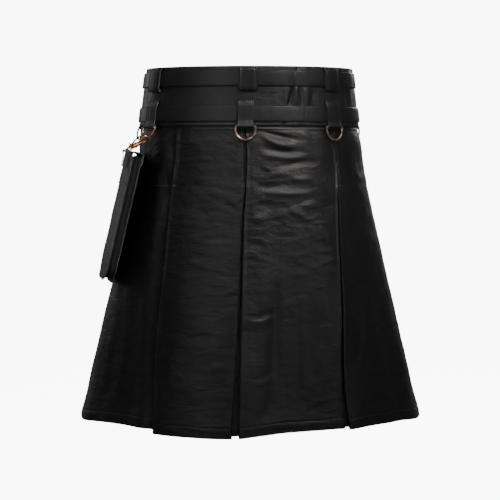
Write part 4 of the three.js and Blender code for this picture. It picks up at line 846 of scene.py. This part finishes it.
def strap_shell(name):
    top, bottom = STRAPS[name]
    middle, k = strap_middle(name)
    bend = HEEL_R + SEAM + STRAP_T / 2
    # The chape lies under the strap, turns round the buckle's bar and goes on as the strap
    points = []
    for f in np.linspace(1, 0.16, 10):
        angle = STRAP_START + CHAPE * mix(0.25, 1, f)
        under = float(curve(STRAP_PATH, "out", angle)) + STRAP_T + 0.4
        points.append((angle, mix(HEEL_OUT + bend - 1.1, under, min(1, f * 1.5))))
    for turn in np.radians(60 + 15 * np.arange(15)):
        points.append((STRAP_START + bend * math.cos(turn) / k, HEEL_OUT + bend * math.sin(turn)))
    run = np.concatenate([np.arange(-170.5, 15.5, 0.9), np.arange(16, 43, 0.27), np.arange(43.4, 160, 0.9),
                          np.arange(160, 219.01, 0.2)])
    points += zip(run, curve(STRAP_PATH, "out", run))
    t, o = np.array(points).T[:, None, :]
    kk = per_degree(t, middle)
    a = travelled((np.diff(t) * (kk[:, 1:] + kk[:, :-1]) / 2)[0])[None, :]
    oa, oo, ia, io, _, _ = thicken(a, o, STRAP_T)
    near = middle + np.array([2.6, 2.1, 1.6, 1.1, 0.55, 0, -0.55, -1.1, -1.6, -2.1, -2.6])
    heights = np.concatenate([[top, top - 0.2, top - 0.7], np.linspace(top - 1.5, middle + 3.4, 8), near,
                              np.linspace(middle - 3.4, bottom + 1.5, 8), [bottom + 0.7, bottom + 0.2, bottom]])
    z = heights[:, None]
    away = np.minimum(top - z, z - bottom)
    edge = np.exp(-away / 0.55)
    # Creased line along each edge, and a very slight crown
    face = -0.22 * hump(away, 2.4, 0.6) + 0.12 * smooth(2.5, 9, away)
    wrinkle = strap_relief(t + 0 * z, z + 0 * t, name) * ((t > -165) & (t < 172))
    tip = np.clip((219 - t) * kk / 10.0, 0, 1)
    zz = middle + (z - middle) * np.where(t > 200, np.sqrt(1 - (1 - tip) ** 2 * 0.85), 1.0)
    punched = sum(-1.9 * (1 - smooth(1.15, 1.75, np.hypot((t - hole) * kk, z - middle))) for hole in STRAP_HOLES)
    outer = base(t + (oa - a) / kk, zz, oo + face + wrinkle + punched - 0.65 * edge)
    inner = base(t + (ia - a) / kk, zz, io + np.minimum(wrinkle, 0.25) * 0.6 + 0.5 * edge)
    # Slots that the prong works in
    mid_t = (t[0, :-1] + t[0, 1:]) / 2
    slots = np.abs((heights[:-1] + heights[1:]) / 2 - middle)[:, None] < 2.1
    in_fold = np.abs(mid_t - STRAP_START) * k < 5.5
    in_tail = np.abs(mid_t - (360 + STRAP_START - 11 / k)) * k < 6.5
    shell("strap_" + name, outer, inner, STRAP_LEATHER, "strap_leather", holes=slots & (in_fold | in_tail)[None, :])


for name in STRAPS:
    strap_shell(name)


# Stitches: small capsules laid end to end

CAPSULE_SIDES = 6
CAPSULE_RINGS = [(-0.5, 0.0), (-0.46, 0.55), (-0.3, 0.95), (0.0, 1.0), (0.3, 0.95), (0.46, 0.55), (0.5, 0.0)]
STITCHES = []


def capsule():
    """A stitch of unit length and width, as vertices and triangles."""
    turns = [2 * math.pi * s / CAPSULE_SIDES for s in range(CAPSULE_SIDES)]
    verts = [(x, r * math.cos(a), r * math.sin(a)) for x, r in CAPSULE_RINGS for a in (turns if r else turns[:1])]
    last, faces = len(verts) - 1, []
    ring = [(s, (s + 1) % CAPSULE_SIDES) for s in range(CAPSULE_SIDES)]
    for s, q in ring:
        faces += [(0, 1 + q, 1 + s), (last, last - CAPSULE_SIDES + s, last - CAPSULE_SIDES + q)]
    for p in range(1, last - CAPSULE_SIDES, CAPSULE_SIDES):
        for s, q in ring:
            faces += [(p + s, p + q, p + CAPSULE_SIDES + q), (p + s, p + CAPSULE_SIDES + q, p + CAPSULE_SIDES + s)]
    return np.array(verts), faces


CAPSULE, CAPSULE_FACES = capsule()


def at_way(way, values, at):
    return np.array([np.interp(at, way, column) for column in values.T])


def stitch_run(points, normals, pitch=4.4, wide=0.42, sink=0.12):
    """Stitches of about a pitch along a line of surface points."""
    points = np.asarray(points, float)
    normals = np.broadcast_to(np.asarray(normals, float), points.shape)
    way = travelled(np.linalg.norm(np.diff(points, axis=0), axis=1))
    count = max(1, int(round(way[-1] / pitch)))
    pitch = way[-1] / count
    for n in range(count):
        p, q = [at_way(way, points, (n + f) * pitch) for f in (0.09, 0.91)]
        length = np.linalg.norm(q - p)
        x = (q - p) / length
        up = at_way(way, normals, (n + 0.5) * pitch)
        up = up - x * (up @ x)
        up = up / np.linalg.norm(up)
        verts = (p + q) / 2 + up * (wide * 0.5 - sink) + CAPSULE @ np.stack(
            [length * x, wide * np.cross(up, x), wide * 0.75 * up])
        STITCHES.append((verts, CAPSULE_FACES))


def skirt_stitches(t, z, level, lift=0.0, **options):
    stitch_run(place(t, z, level(t, z) + lift), facing(t, z) + np.array([0, 0, 0.18]), **options)


for node, start, stop, level, hem, _ in SKIRT_PANELS:
    z = np.array(-585.0)
    low, high = [float(edge_line(end, side, z)) for end, side in ((start, 1), (stop, -1))]
    inset = 1.6 / float(per_degree(low, z))
    low, high = low + inset, high - inset
    if node == "panel_side_left":
        high = float(line("left", z)) - 0.4
    t = np.linspace(low, high, 200)
    skirt_stitches(t, curve(HEMS[hem], "z", t) + HEM_STITCH, level, -0.4)
    for name, offset, depth, side in folded_ends(start, stop):
        z = np.linspace(-103, STITCH_LOW, 120)
        at = line(name, z)
        skirt_stitches(at + side * offset / per_degree(at, z), z, level, -0.8 * depth)
        # A bar tack closes the run at its foot
        reach = np.linspace(0.6, offset + 1.2, 8)
        for drop in (0.2, 0.9, 1.6, 2.3):
            z = np.full(8, STITCH_LOW - drop)
            at = line(name, z)
            skirt_stitches(at + side * reach / per_degree(at, z), z, level, -0.15, pitch=50, wide=0.7)

# The knife pleat's tack runs across the side panel from the fold
z = np.full(20, STITCH_LOW - 1.6)
at = line("left", z)
skirt_stitches(at - np.linspace(2, 36, 20) / per_degree(at, z), z, knife_level, -0.05)

t = np.arange(-OVERLAP_END + 1, INSET_TO + 100, 0.7)
for z_seam in BAND_SEAMS:
    z = np.full(len(t), float(z_seam))
    stitch_run(base(t, z, band_face(t, z) - 0.3), facing(t, z))
t = np.full(60, -OVERLAP_END + 1.6)
z = np.linspace(-4, -BAND_DEPTH + 4, 60)
stitch_run(base(t, z, -0.1), facing(t, z))


# Belt loops

LOOP_IN = LOOP_GAP + LOOP_T / 2
LOOP_OVER = STRAP_LIFT + STRAP_T + LOOP_IN
LOW_FOLD = RING_WIRE + SEAM + LOOP_T / 2
RING_BAR_OUT = LOOP_IN + LOW_FOLD


def loop_shell(node, t_mid, width, path, flat):
    """A loop: path of (z, out), swept over its width, flat or following the band, with rolled long edges."""
    pz, po, _ = soften(path, 1.1, 15)
    oa, oo, ia, io, na, no = thicken(-pz[None, :], po[None, :], LOOP_T)
    k = float(per_degree(t_mid, -50))
    along = beside(facing(t_mid, -50.0))
    x = graded(-0.5, 0.5, (0.008, 0.025, 0.05), 23)[:, None] * width
    away = width / 2 - np.abs(x)
    edge = np.exp(-away / 0.5)
    face = -0.42 * hump(away, 2.9, 0.8) + 0.13 * noise(x / 1.9 + 9, pz[None, :] / 26, 7)
    lines = -0.24 * hump(np.abs(x), 4.4, 0.7) - 0.15 * hump(x, 0.8, 0.6)
    lines = lines + 0.35 * hump(away, 1.2, 1.0) + 0.4 * (1 - (2 * x / width) ** 2)

    def side(a, o, lift):
        # Extra thickness is laid off square to the path
        z = -(a + na * lift)
        out = o + no * lift
        if flat:
            return base(np.full(z.shape, t_mid), z, out) + along * x[..., None]
        return base(t_mid + x / k + 0 * z, z, out)

    shell(node, side(oa, oo, face + lines - 0.3 * edge), side(ia, io, 0.2 * edge), LOOP_LEATHER, "loop_leather",
          edge_grey_and_highlight=RAW_EDGE_AND_PAINTED_HIGHLIGHT)


def upper_loop_path():
    foot = (LOOP_T + 0.4) / 2
    end = LOOP_FOOT + LOOP_T / 2 + foot
    turn = [(end - foot * math.sin(a * RAD), LOOP_IN + foot + foot * math.cos(a * RAD)) for a in range(0, 181, 20)]
    return [(LOOP_TOP, LOOP_IN), (-2, LOOP_IN + 0.3), (-6.6, LOOP_OVER), (-20, LOOP_OVER + 0.25), (-34, LOOP_OVER),
            *turn, (-35, LOOP_IN)]


def lower_loop_path():
    turn = [(RING_BAR_Z + LOW_FOLD * math.sin(a * RAD), RING_BAR_OUT + LOW_FOLD * math.cos(a * RAD))
            for a in range(42, -181, -12)]
    return [(LOOP_HEAD, LOOP_IN), (-59, LOOP_IN + 0.1), (-65.6, LOOP_OVER), (-78, LOOP_OVER + 0.25),
            (-90.4, LOOP_OVER + 0.1), *turn, (-93.2, LOOP_IN)]


def across(width):
    return np.linspace(-width / 2 + 2.4, width / 2 - 2.4, 9)


for name, t_up in UPPER_LOOPS.items():
    t_low = LOWER_LOOPS[name]
    loop_shell("loop_upper_" + name, t_up, UPPER_LOOP_WIDTH, upper_loop_path(), False)
    loop_shell("loop_lower_" + name, t_low, LOWER_LOOP_WIDTH, lower_loop_path(), True)
    # Two rows of stitches across the head of the lower loop, and one along the foot of the upper
    normal = facing(t_low, -50.0)
    for z_at, lift in ((-57.0, 0.0), (-58.8, 0.1)):
        centre = base(t_low, z_at, LOOP_GAP + LOOP_T + lift)
        stitch_run(centre + beside(normal) * across(LOWER_LOOP_WIDTH)[:, None], normal, pitch=3.4, wide=0.4)
    t = t_up + across(UPPER_LOOP_WIDTH) / float(per_degree(t_low, -38))
    stitch_run(base(t, -38.6, LOOP_GAP + LOOP_T * 2 + 0.42), facing(t_up, -50.0), pitch=3.4, wide=0.4)


# Rods: round bars along a line of points

def unit(v):
    return v / np.linalg.norm(v, axis=-1, keepdims=True)


def rod(points, radius, sides=14, ring=False):
    """Vertices and faces of a round bar with a radius, or one for each point."""
    points = np.asarray(points, float)
    count = len(points)
    tangent = unit(np.roll(points, -1, 0) - np.roll(points, 1, 0) if ring else np.gradient(points, axis=0))
    plane = np.cross(tangent[:-1], tangent[1:]).sum(0)
    if np.linalg.norm(plane) < 1e-6:
        plane = np.cross(tangent[0], (0, 0, 1.0) if abs(tangent[0, 2]) < 0.9 else (1.0, 0, 0))
    side = unit(np.cross(unit(plane), tangent))
    up = np.cross(tangent, side)
    r = np.broadcast_to(np.asarray(radius, float), (count,))[:, None, None]
    turn = (np.arange(sides) / sides * 2 * math.pi)[None, :, None]
    verts = (points[:, None, :] + (side[:, None, :] * np.cos(turn) + up[:, None, :] * np.sin(turn)) * r)
    faces = []
    for i in range(count if ring else count - 1):
        a, b = i * sides, (i + 1) % count * sides
        faces += [(a + s, a + (s + 1) % sides, b + (s + 1) % sides, b + s) for s in range(sides)]
    if not ring:
        faces += [tuple(range(sides))[::-1], tuple(range((count - 1) * sides, count * sides))]
    return verts.reshape(-1, 3), faces


def smooth_line(points, count, ring=False):
    """A line of points rounded off and spaced evenly."""
    p = np.asarray(points, float)
    if ring:
        p = np.concatenate([p, p[:1]])
    for _ in range(3):
        mid = np.empty((2 * len(p) - 2, 3))
        mid[0::2], mid[1::2] = p[:-1] * 0.75 + p[1:] * 0.25, p[:-1] * 0.25 + p[1:] * 0.75
        p = np.concatenate([mid, mid[:1]] if ring else [p[:1], mid, p[-1:]])
    way = travelled(np.linalg.norm(np.diff(p, axis=0), axis=1))
    return np.stack([at_way(way, p, at) for at in np.linspace(0, way[-1], count + 1 if ring else count)[:count]])


def merge(pieces):
    verts, faces, start = [], [], 0
    for v, f in pieces:
        verts.append(v)
        faces += [tuple(n + start for n in face) for face in f]
        start += len(v)
    return np.concatenate(verts), faces


# Rings

def ring_frame(name):
    """The middle of a ring's bar, and the directions along the bar and down the ring."""
    t = LOWER_LOOPS[name]
    n = facing(t, RING_BAR_Z)
    slope = float((base(t, -122.0, 0.0) - base(t, -98.0, 0.0)) @ n)
    lean = math.atan2(slope, 24) + (RING_LEAN_PULLED * RAD if name.startswith("left") else 0)
    return base(t, RING_BAR_Z, RING_BAR_OUT), beside(n), np.array([0, 0, -math.cos(lean)]) + n * math.sin(lean)


def arc(x, y, radius, angles):
    """Points round (x, y), an angle of 0 lying along +x and 90 along -y."""
    return [(x + radius * math.cos(a * RAD), y - radius * math.sin(a * RAD)) for a in angles]


RING_FLAT = RING_HALF - RING_CORNER
RING_LINE = [
    *arc(-RING_FLAT, RING_CORNER, RING_CORNER, range(180, 89, -15)),
    *[(x, 0.0) for x in np.linspace(-RING_FLAT, RING_FLAT, 12)[1:-1]],
    *arc(RING_FLAT, RING_CORNER, RING_CORNER, range(90, -1, -15)),
    *[(RING_HALF * math.cos(a), RING_CORNER + 1 + (RING_DROP - RING_CORNER - 1) * math.sin(a))
      for a in np.linspace(0, math.pi, 31)],
]
for name in LOWER_LOOPS:
    bar, along, down = ring_frame(name)
    add_mesh("ring_" + name + "_wire", *rod([bar + along * x + down * y for x, y in RING_LINE], RING_WIRE, 16, True),
             RING_COPPER, "ring_copper", body="ring_" + name + "_body" if name in TURNING_RINGS else BODY,
             replaces=["ring_" + name])


# Pocket

turn_p = POCKET_TURN * RAD
lean_p = POCKET_LEAN * RAD
LEVEL = np.array([-math.cos(turn_p), -math.sin(turn_p), 0])
PW = np.array([-math.sin(turn_p), math.cos(turn_p), 0])
PH = np.array([0, 0, -math.cos(lean_p)]) + LEVEL * math.sin(lean_p)
PO = np.array([0, 0, math.sin(lean_p)]) + LEVEL * math.cos(lean_p)
CORNER = np.array(POCKET_CORNER, float)


def pocket_point(w, h, o):
    """A point of the pocket: along its width, down its height and out from its back."""
    w, h, o = np.broadcast_arrays(*[np.asarray(v, float) for v in (w, h, o)])
    f = w / POCKET_WIDTH
    reach = o + POCKET_BOW * 4 * f * (1 - f)
    return CORNER + w[..., None] * PW + h[..., None] * PH + reach[..., None] * PO


def pocket_relief(w, h):
    return 0.5 * noise(w / 30 + 3, h / 34, 8) + 0.18 * noise(w / 9, h / 7, 9)


def pocket_face(node, top, bottom, inner, outer):
    """The pocket's back, or its front, which bulges and is stitched on its outer side."""
    rows = graded(0, 1, (0.002, 0.006, 0.012), 64)[:, None]
    w = graded(0, POCKET_WIDTH, (0.4, 1.2, 2.5), 50)[None, :] + 0 * rows
    inward = np.minimum(w, POCKET_WIDTH - w)
    corner = POCKET_ROUND - np.sqrt(POCKET_ROUND ** 2 - np.maximum(0, POCKET_ROUND - inward) ** 2)
    low = bottom - corner
    h = top + rows * (low - top)
    away = np.minimum(inward, low - h)
    edge = np.exp(-away / 0.6)
    stitch = -0.3 * hump(away, 4.0, 0.9)
    if node == "pocket_front":
        puff = 1.6 * smooth(4, 34, away) * smooth(0, 40, h - top + 10)
        relief = pocket_relief(w, h) * smooth(0, 20, away)
        outside = outer + stitch + puff + relief * 0.8 - 0.3 * edge
        inside = inner + puff + relief * 0.8 + 0.1 * edge
    else:
        outside = outer - 0.1 * edge
        inside = inner + 0.3 * edge - 0.3 * stitch
    shell(node, pocket_point(w, h, outside), pocket_point(w, h, inside), POCKET_LEATHER, "pocket_leather",
          edge_grey_and_highlight=RAW_EDGE_AND_PAINTED_HIGHLIGHT)


def pocket_side(start, top, low, radius, straight, turned):
    """Down one side of the pocket from its top and round its lower corner, as lists of width and height."""
    turns = np.linspace(0, math.pi / 2, turned)
    w = [start] * straight + [start + radius - radius * math.cos(a) for a in turns]
    h = [*np.linspace(top, low - radius, straight), *[low - radius + radius * math.sin(a) for a in turns]]
    return w, h


SEAM_INSET = 4.0
# Each face: top and bottom, inner and outer side, and where its stitches lie and face
POCKET_FACES = (
    ("pocket_back", 0, POCKET_HEIGHT, 0, POCKET_T, 0.12, -PO),
    ("pocket_front", 5, POCKET_HEIGHT - 2, POCKET_THICK - POCKET_T, POCKET_THICK, POCKET_THICK - 0.3, PO),
)
for node, top, bottom, inner, outer, _, _ in POCKET_FACES:
    pocket_face(node, top, bottom, inner, outer)
for _, top, bottom, _, _, seam_out, normal in POCKET_FACES[::-1]:
    w, h = pocket_side(SEAM_INSET, top + 4, bottom - SEAM_INSET, POCKET_ROUND - SEAM_INSET, 30, 12)
    w, h = w + [POCKET_WIDTH - x for x in w[::-1]], h + h[::-1]
    stitch_run(pocket_point(w, h, seam_out), normal)


def gusset_shell():
    low = POCKET_HEIGHT - 2 - GUSSET_INSET
    r = POCKET_ROUND - 4
    w, h = pocket_side(GUSSET_INSET, GUSSET_TOP, low, r, 40, 14)
    # The corner's first point is the straight side's last
    del w[40], h[40]
    bottom = list(np.linspace(GUSSET_INSET + r, POCKET_WIDTH - GUSSET_INSET - r, 24)[1:-1])
    w = np.array(w + bottom + [POCKET_WIDTH - x for x in w[::-1]])
    h = np.array(h + [low] * len(bottom) + h[::-1])
    oa, oo, ia, io, na, no = thicken(w[None, :], h[None, :], POCKET_T)
    f = np.linspace(0, 1, 15)[:, None]
    o = mix(POCKET_T + SEAM + 0.1, POCKET_THICK - POCKET_T - SEAM - 0.1, f)
    # The gusset folds inward along its middle like a bellows
    toward = np.sign(na * (POCKET_WIDTH / 2 - w) + no * (POCKET_HEIGHT / 2 - h))
    push = toward * 3.6 * np.sin(np.pi * f) ** 1.3 * (0.8 + 0.2 * noise(np.arange(len(w))[None, :] / 9, f * 0, 10))
    shell("pocket_gusset", pocket_point(oa + na * push, oo + no * push, o),
          pocket_point(ia + na * push, io + no * push, o), PLEAT_LEATHER, "pocket_leather")


gusset_shell()


def pocket_strip(node, path, start, stop, columns, material, step, stitched):
    """A strip over the pocket's top: path of (h, o), swept along the width from start to stop."""
    ph, po, way = soften(path, step, 13)
    oa, oo, ia, io, na, no = thicken(ph[None, :], po[None, :], POCKET_T)
    x = np.linspace(start, stop, columns)
    x = np.concatenate([[start, start + 0.3, start + 0.9], x[1:-1], [stop - 0.9, stop - 0.3, stop]])[:, None]
    away = np.minimum(x - start, stop - x)
    rim = np.minimum(away, (way[-1] - way)[None, :])
    edge = np.exp(-rim / 0.5)
    wave, groove = 0.0, 0.0
    if stitched:
        wave = np.maximum(pocket_relief(x + 0 * oa, oa + 0 * x + 60) * smooth(0, 12, away) * 0.6, -0.25)
        groove = -0.25 * hump(rim, 3.6, 0.8)
    lift_out = wave + groove - 0.25 * edge
    lift_in = wave + 0.2 * edge
    shell(node, pocket_point(x, oa + na * lift_out, oo + no * lift_out),
          pocket_point(x, ia + na * lift_in, io + no * lift_in), material, "pocket_leather", edge_grey_and_highlight=RAW_EDGE_AND_PAINTED_HIGHLIGHT)


flap_in = -SEAM - POCKET_T / 2
flap_out = POCKET_THICK + SEAM + POCKET_T / 2
roof = (flap_out - flap_in) / 2
flap_path = [(FLAP_BACK, flap_in), (4, flap_in)]
flap_path += [(-1.2 - 0.4 * roof * math.sin(a * RAD), flap_in + roof + roof * math.cos(a * RAD))
              for a in range(180, -1, -10)]
flap_path += [(20, flap_out), (FLAP_DROP, flap_out + 0.5)]
pocket_strip("pocket_flap", flap_path, 0.5, POCKET_WIDTH - 0.5, 50, POCKET_LEATHER, 1.0, True)

# Stitches round the flap's free edge
flap_edges = np.linspace(4.1, POCKET_WIDTH - 4.1, 40)
side_h = np.linspace(14, FLAP_DROP - 3.6, 12)
w = np.concatenate([np.full(12, flap_edges[0]), flap_edges, np.full(12, flap_edges[-1])])
h = np.concatenate([side_h, np.full(40, side_h[-1]), side_h[::-1]])
stitch_run(pocket_point(w, h, flap_out + 0.5 + POCKET_T / 2 - 0.2), PO)

# Tabs that hold the snap hooks, folded round their eyes
tab_in = flap_out + POCKET_T + SEAM
tab_fold = TAB_WIRE + SEAM + 0.3 + POCKET_T / 2
TAB_EYE_H = -3.2
TAB_EYE_O = tab_in + tab_fold
tab_path = [(24, tab_in), (8, tab_in)]
tab_path += [(TAB_EYE_H - tab_fold * math.sin(a * RAD), TAB_EYE_O + tab_fold * math.cos(a * RAD))
             for a in range(180, -31, -10)]
tab_path += [(6.5, tab_in + POCKET_T + 0.5), (24, tab_in + POCKET_T + 0.4)]


# Snap hooks, measured along their axis from the eye, with the radius at each place in mm

EYE_LINE = [(0, -7), (-0.6, -8.6), (0.6, -9.7), (2.4, -9.6), (6.5, -7), (9.4, -3), (10.4, 0), (9.4, 3), (6.5, 7),
            (2.4, 9.6), (0.6, 9.7), (-0.6, 8.6), (0, 7), (0, 0)]
SWIVEL = [(8.6, 1.2), (9.0, 2.0), (10.0, 2.3), (11.4, 2.3), (11.8, 1.6), (12.2, 2.6), (13.2, 3.3), (13.6, 3.5)]
SHOULDER = [(-1.4, 3.4), (-0.6, 3.0), (0, 1.8)]
KNOB = [(2.4, 0.9), (4.2, 0.9), (5.0, 1.4), (5.4, 1.6), (6.0, 1.4), (6.4, 0.8)]
HOOK_BACK = 13.5
HOOK_REACH = RING_WIRE + 1.1 + 1.7


def hook_mesh(w, wire, along):
    """A hook from its eye in a pocket tab to the ring's wire."""
    eye = pocket_point(w, TAB_EYE_H, TAB_EYE_O)
    length = float(np.linalg.norm(wire - eye))
    axis = (wire - eye) / length
    side = unit(np.cross(along, axis))
    cross = unit(PW - axis * (PW @ axis))

    def at(u, v):
        return eye + axis * u + side * v

    top = length - HOOK_BACK
    body = SWIVEL + [(top + u, r) for u, r in SHOULDER]
    turns = [(215 - 31 * n) * RAD for n in range(9)]
    hook = [at(top - 2, 0), at(top + 2, -1.5),
            *[at(length + HOOK_REACH * math.sin(a), HOOK_REACH * math.cos(a)) for a in turns],
            at(top + 3, 3.2), at(top - 1.5, 1.2)]
    return merge([
        rod(smooth_line([eye + axis * u + cross * v for u, v in EYE_LINE], 64, True), TAB_WIRE, 12, True),
        rod([at(u, 0) for u, _ in body], [r for _, r in body], 20),
        rod(smooth_line(hook, 60), np.concatenate([np.full(44, 1.75), np.linspace(1.7, 1.3, 16)])),
        rod([at(top - 5, v) for v, _ in KNOB], [r for _, r in KNOB], 12),
    ])


for name in ("rear", "front"):
    bar, along, down = ring_frame("left_" + name)
    wire = bar + down * RING_DROP
    w = float((wire - CORNER) @ PW)
    pocket_strip("pocket_tab_" + name, tab_path, w - TAB_WIDTH / 2, w + TAB_WIDTH / 2, 9, LOOP_LEATHER, 0.8, False)
    add_mesh("hook_" + name + "_metal", *hook_mesh(w, wire, along), HOOK_COPPER, "hook_copper",
             replaces=["hook_" + name], sharp=50)
    for h in (13.0, 20.0):
        row = pocket_point(np.linspace(w - 3.4, w + 3.4, 5), h, tab_in + POCKET_T * 1.5 + 0.5)
        stitch_run(row, PO, pitch=2.4, wide=0.4)


# Buckles, prongs and keepers

BUCKLE_CORNER = 3.2


def buckle_frame(name):
    middle, k = strap_middle(name)
    heel = 360 + STRAP_START
    far = heel - FRAME_LENGTH / k
    high = (STRAPS[name][0] - STRAPS[name][1]) / 2 + FRAME_OVER
    corners = [base(heel, middle - high, HEEL_OUT), base(heel, middle + high, HEEL_OUT),
               base(far, middle + high, FAR_OUT), base(far, middle - high, FAR_OUT)]
    outline = []
    for i, p in enumerate(corners):
        following = corners[(i + 1) % 4]
        a, b = unit(corners[i - 1] - p), unit(following - p)
        for f in np.linspace(0, math.pi / 2, 8):
            outline.append(p + a * BUCKLE_CORNER * (1 - math.sin(f)) + b * BUCKLE_CORNER * (1 - math.cos(f)))
        outline += [p + (following - p) * f for f in np.linspace(0.2, 0.8, 7)]
    add_mesh("buckle_" + name + "_frame", *rod(outline, HEEL_R, ring=True), BUCKLE_COPPER, "buckle_copper",
             replaces=["buckle_" + name])


def keeper_shell(name):
    """A narrow leather ring round a strap and its tail."""
    middle, k = strap_middle(name)
    low = 3.15 - STRAP_T / 2 - SEAM - KEEPER_T / 2
    high = 6.1 + STRAP_T / 2 + SEAM + KEEPER_T / 2
    corner = 1.5
    half_z = (STRAPS[name][0] - STRAPS[name][1]) / 2 + SEAM + 0.5 + KEEPER_T / 2 - corner
    half_o = (high - low) / 2 - corner
    rows = []
    for q, (sz, so) in enumerate(((1, 1), (-1, 1), (-1, -1), (1, -1))):
        long_side = q % 2 == 0
        places = [((90 * q + f) * RAD, 1, 1) for f in np.linspace(0, 90, 7)]
        for f in 1 - 2 * np.linspace(0, 1, 14 if long_side else 4)[1:-1]:
            places.append((90 * (q + 1) * RAD, f if long_side else 1, 1 if long_side else f))
        for a, fz, fo in places:
            rows.append((sz * half_z * fz + corner * math.cos(a), so * half_o * fo + corner * math.sin(a),
                         math.cos(a), math.sin(a)))
    z, o, nz, no = np.array(rows).T[:, None, :]
    x = graded(-0.5, 0.5, (0.02, 0.06, 0.1), 17)[:, None] * KEEPER_WIDTH
    edge = np.exp(-(KEEPER_WIDTH / 2 - np.abs(x)) / 0.4)

    def side(out):
        return base(KEEPER_AT + x / k, middle + z + nz * out, (low + high) / 2 + o + no * out)

    shell("keeper_" + name, side(KEEPER_T / 2 - 0.2 * hump(np.abs(x), 3.6, 0.6) - 0.35 * edge),
          side(-KEEPER_T / 2 + 0.35 * edge), STRAP_LEATHER, "strap_leather", wrap=True)


for name in STRAPS:
    buckle_frame(name)
    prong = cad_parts["prong_" + name].data.materials
    prong.clear()
    prong.append(BUCKLE_COPPER)
for name in STRAPS:
    keeper_shell(name)


# Stitches as one mesh

add_mesh("stitching", *merge(STITCHES), THREAD, "skirt_leather", sharp=80)


# Stage and light, in metres

PAPER = 9.0
FLOOR_Z = -1.02
WALLS = 8
WALL_AWAY = 24


def paper(name, size, location, rotation):
    """A stage piece that the camera sees bright, and that doesn't light the leather."""
    mesh = bpy.data.meshes.new(name)
    s = size / 2
    mesh.from_pydata([(-s, -s, 0), (s, -s, 0), (s, s, 0), (-s, s, 0)], [], [(0, 1, 2, 3)])
    material, shader, _ = new_material(name)
    set_up(shader, Base_Color=(0.9, 0.9, 0.9, 1), Roughness=0.9, Emission_Color=(1, 1, 1, 1), Emission_Strength=PAPER,
         Specular_IOR_Level=0.0)
    mesh.materials.append(material)
    obj = bpy.data.objects.new(name, mesh)
    obj.location, obj.rotation_euler = location, rotation
    bpy.context.scene.collection.objects.link(obj)
    obj.visible_diffuse = obj.visible_glossy = obj.visible_transmission = False
    return obj


paper("floor", 60.0, (0, 0, FLOOR_Z), (0, 0, 0))
for side in range(WALLS):
    turn = side * 360 / WALLS * RAD
    wall = paper("backdrop_" + str(side), 24.0, (WALL_AWAY * math.cos(turn), WALL_AWAY * math.sin(turn), 8),
                 (90 * RAD, 0, turn - 90 * RAD))
    wall.visible_shadow = False

# Dim, even light from all round, so that black leather stays black
world = bpy.data.worlds.new("studio")
bpy.context.scene.world = world
world.use_nodes = True
set_up(world.node_tree.nodes["Background"], (1, 1, 1, 1), 0.15)

# Each light: name, place, what it points at, size, power in W, colour, spread in degrees
for name, location, target, size, power, color, spread in (
        ("key", (-1.2, -2.6, 0.1), (0, 0, 0.0), (0.8, 0.4), 1.1, (1, 1, 1), 60),
        ("fill", (1.7, -2.3, 0.1), (0, 0, 0.0), (0.6, 0.4), 0.6, (1, 1, 1), 60),
        ("top", (1.25, -1.75, 1.75), (0.0, -0.15, 0.02), (0.6, 0.6), 2.3, (1.0, 0.96, 0.93), 24),
        ("top_left", (-0.9, -1.9, 1.7), (-0.15, -0.2, -0.1), (0.5, 0.5), 0.5, (1.0, 0.97, 0.95), 26),
        ("front", (1.3, 2.6, 0.9), (0, 0, -0.2), (1.0, 1.0), 40, (1, 1, 1), 180),
        ("front_left", (-2.2, 1.6, 0.6), (0, 0, -0.2), (0.8, 1.2), 7, (1, 1, 1), 180)):
    light = bpy.data.lights.new(name, "AREA")
    light.shape = "RECTANGLE"
    light.size, light.size_y = size
    light.energy, light.color, light.spread = power, color, spread * RAD
    obj = bpy.data.objects.new(name, light)
    obj.location = location
    obj.rotation_euler = (Vector(target) - Vector(location)).to_track_quat("-Z", "Y").to_euler()
    obj.visible_camera = False
    bpy.context.scene.collection.objects.link(obj)
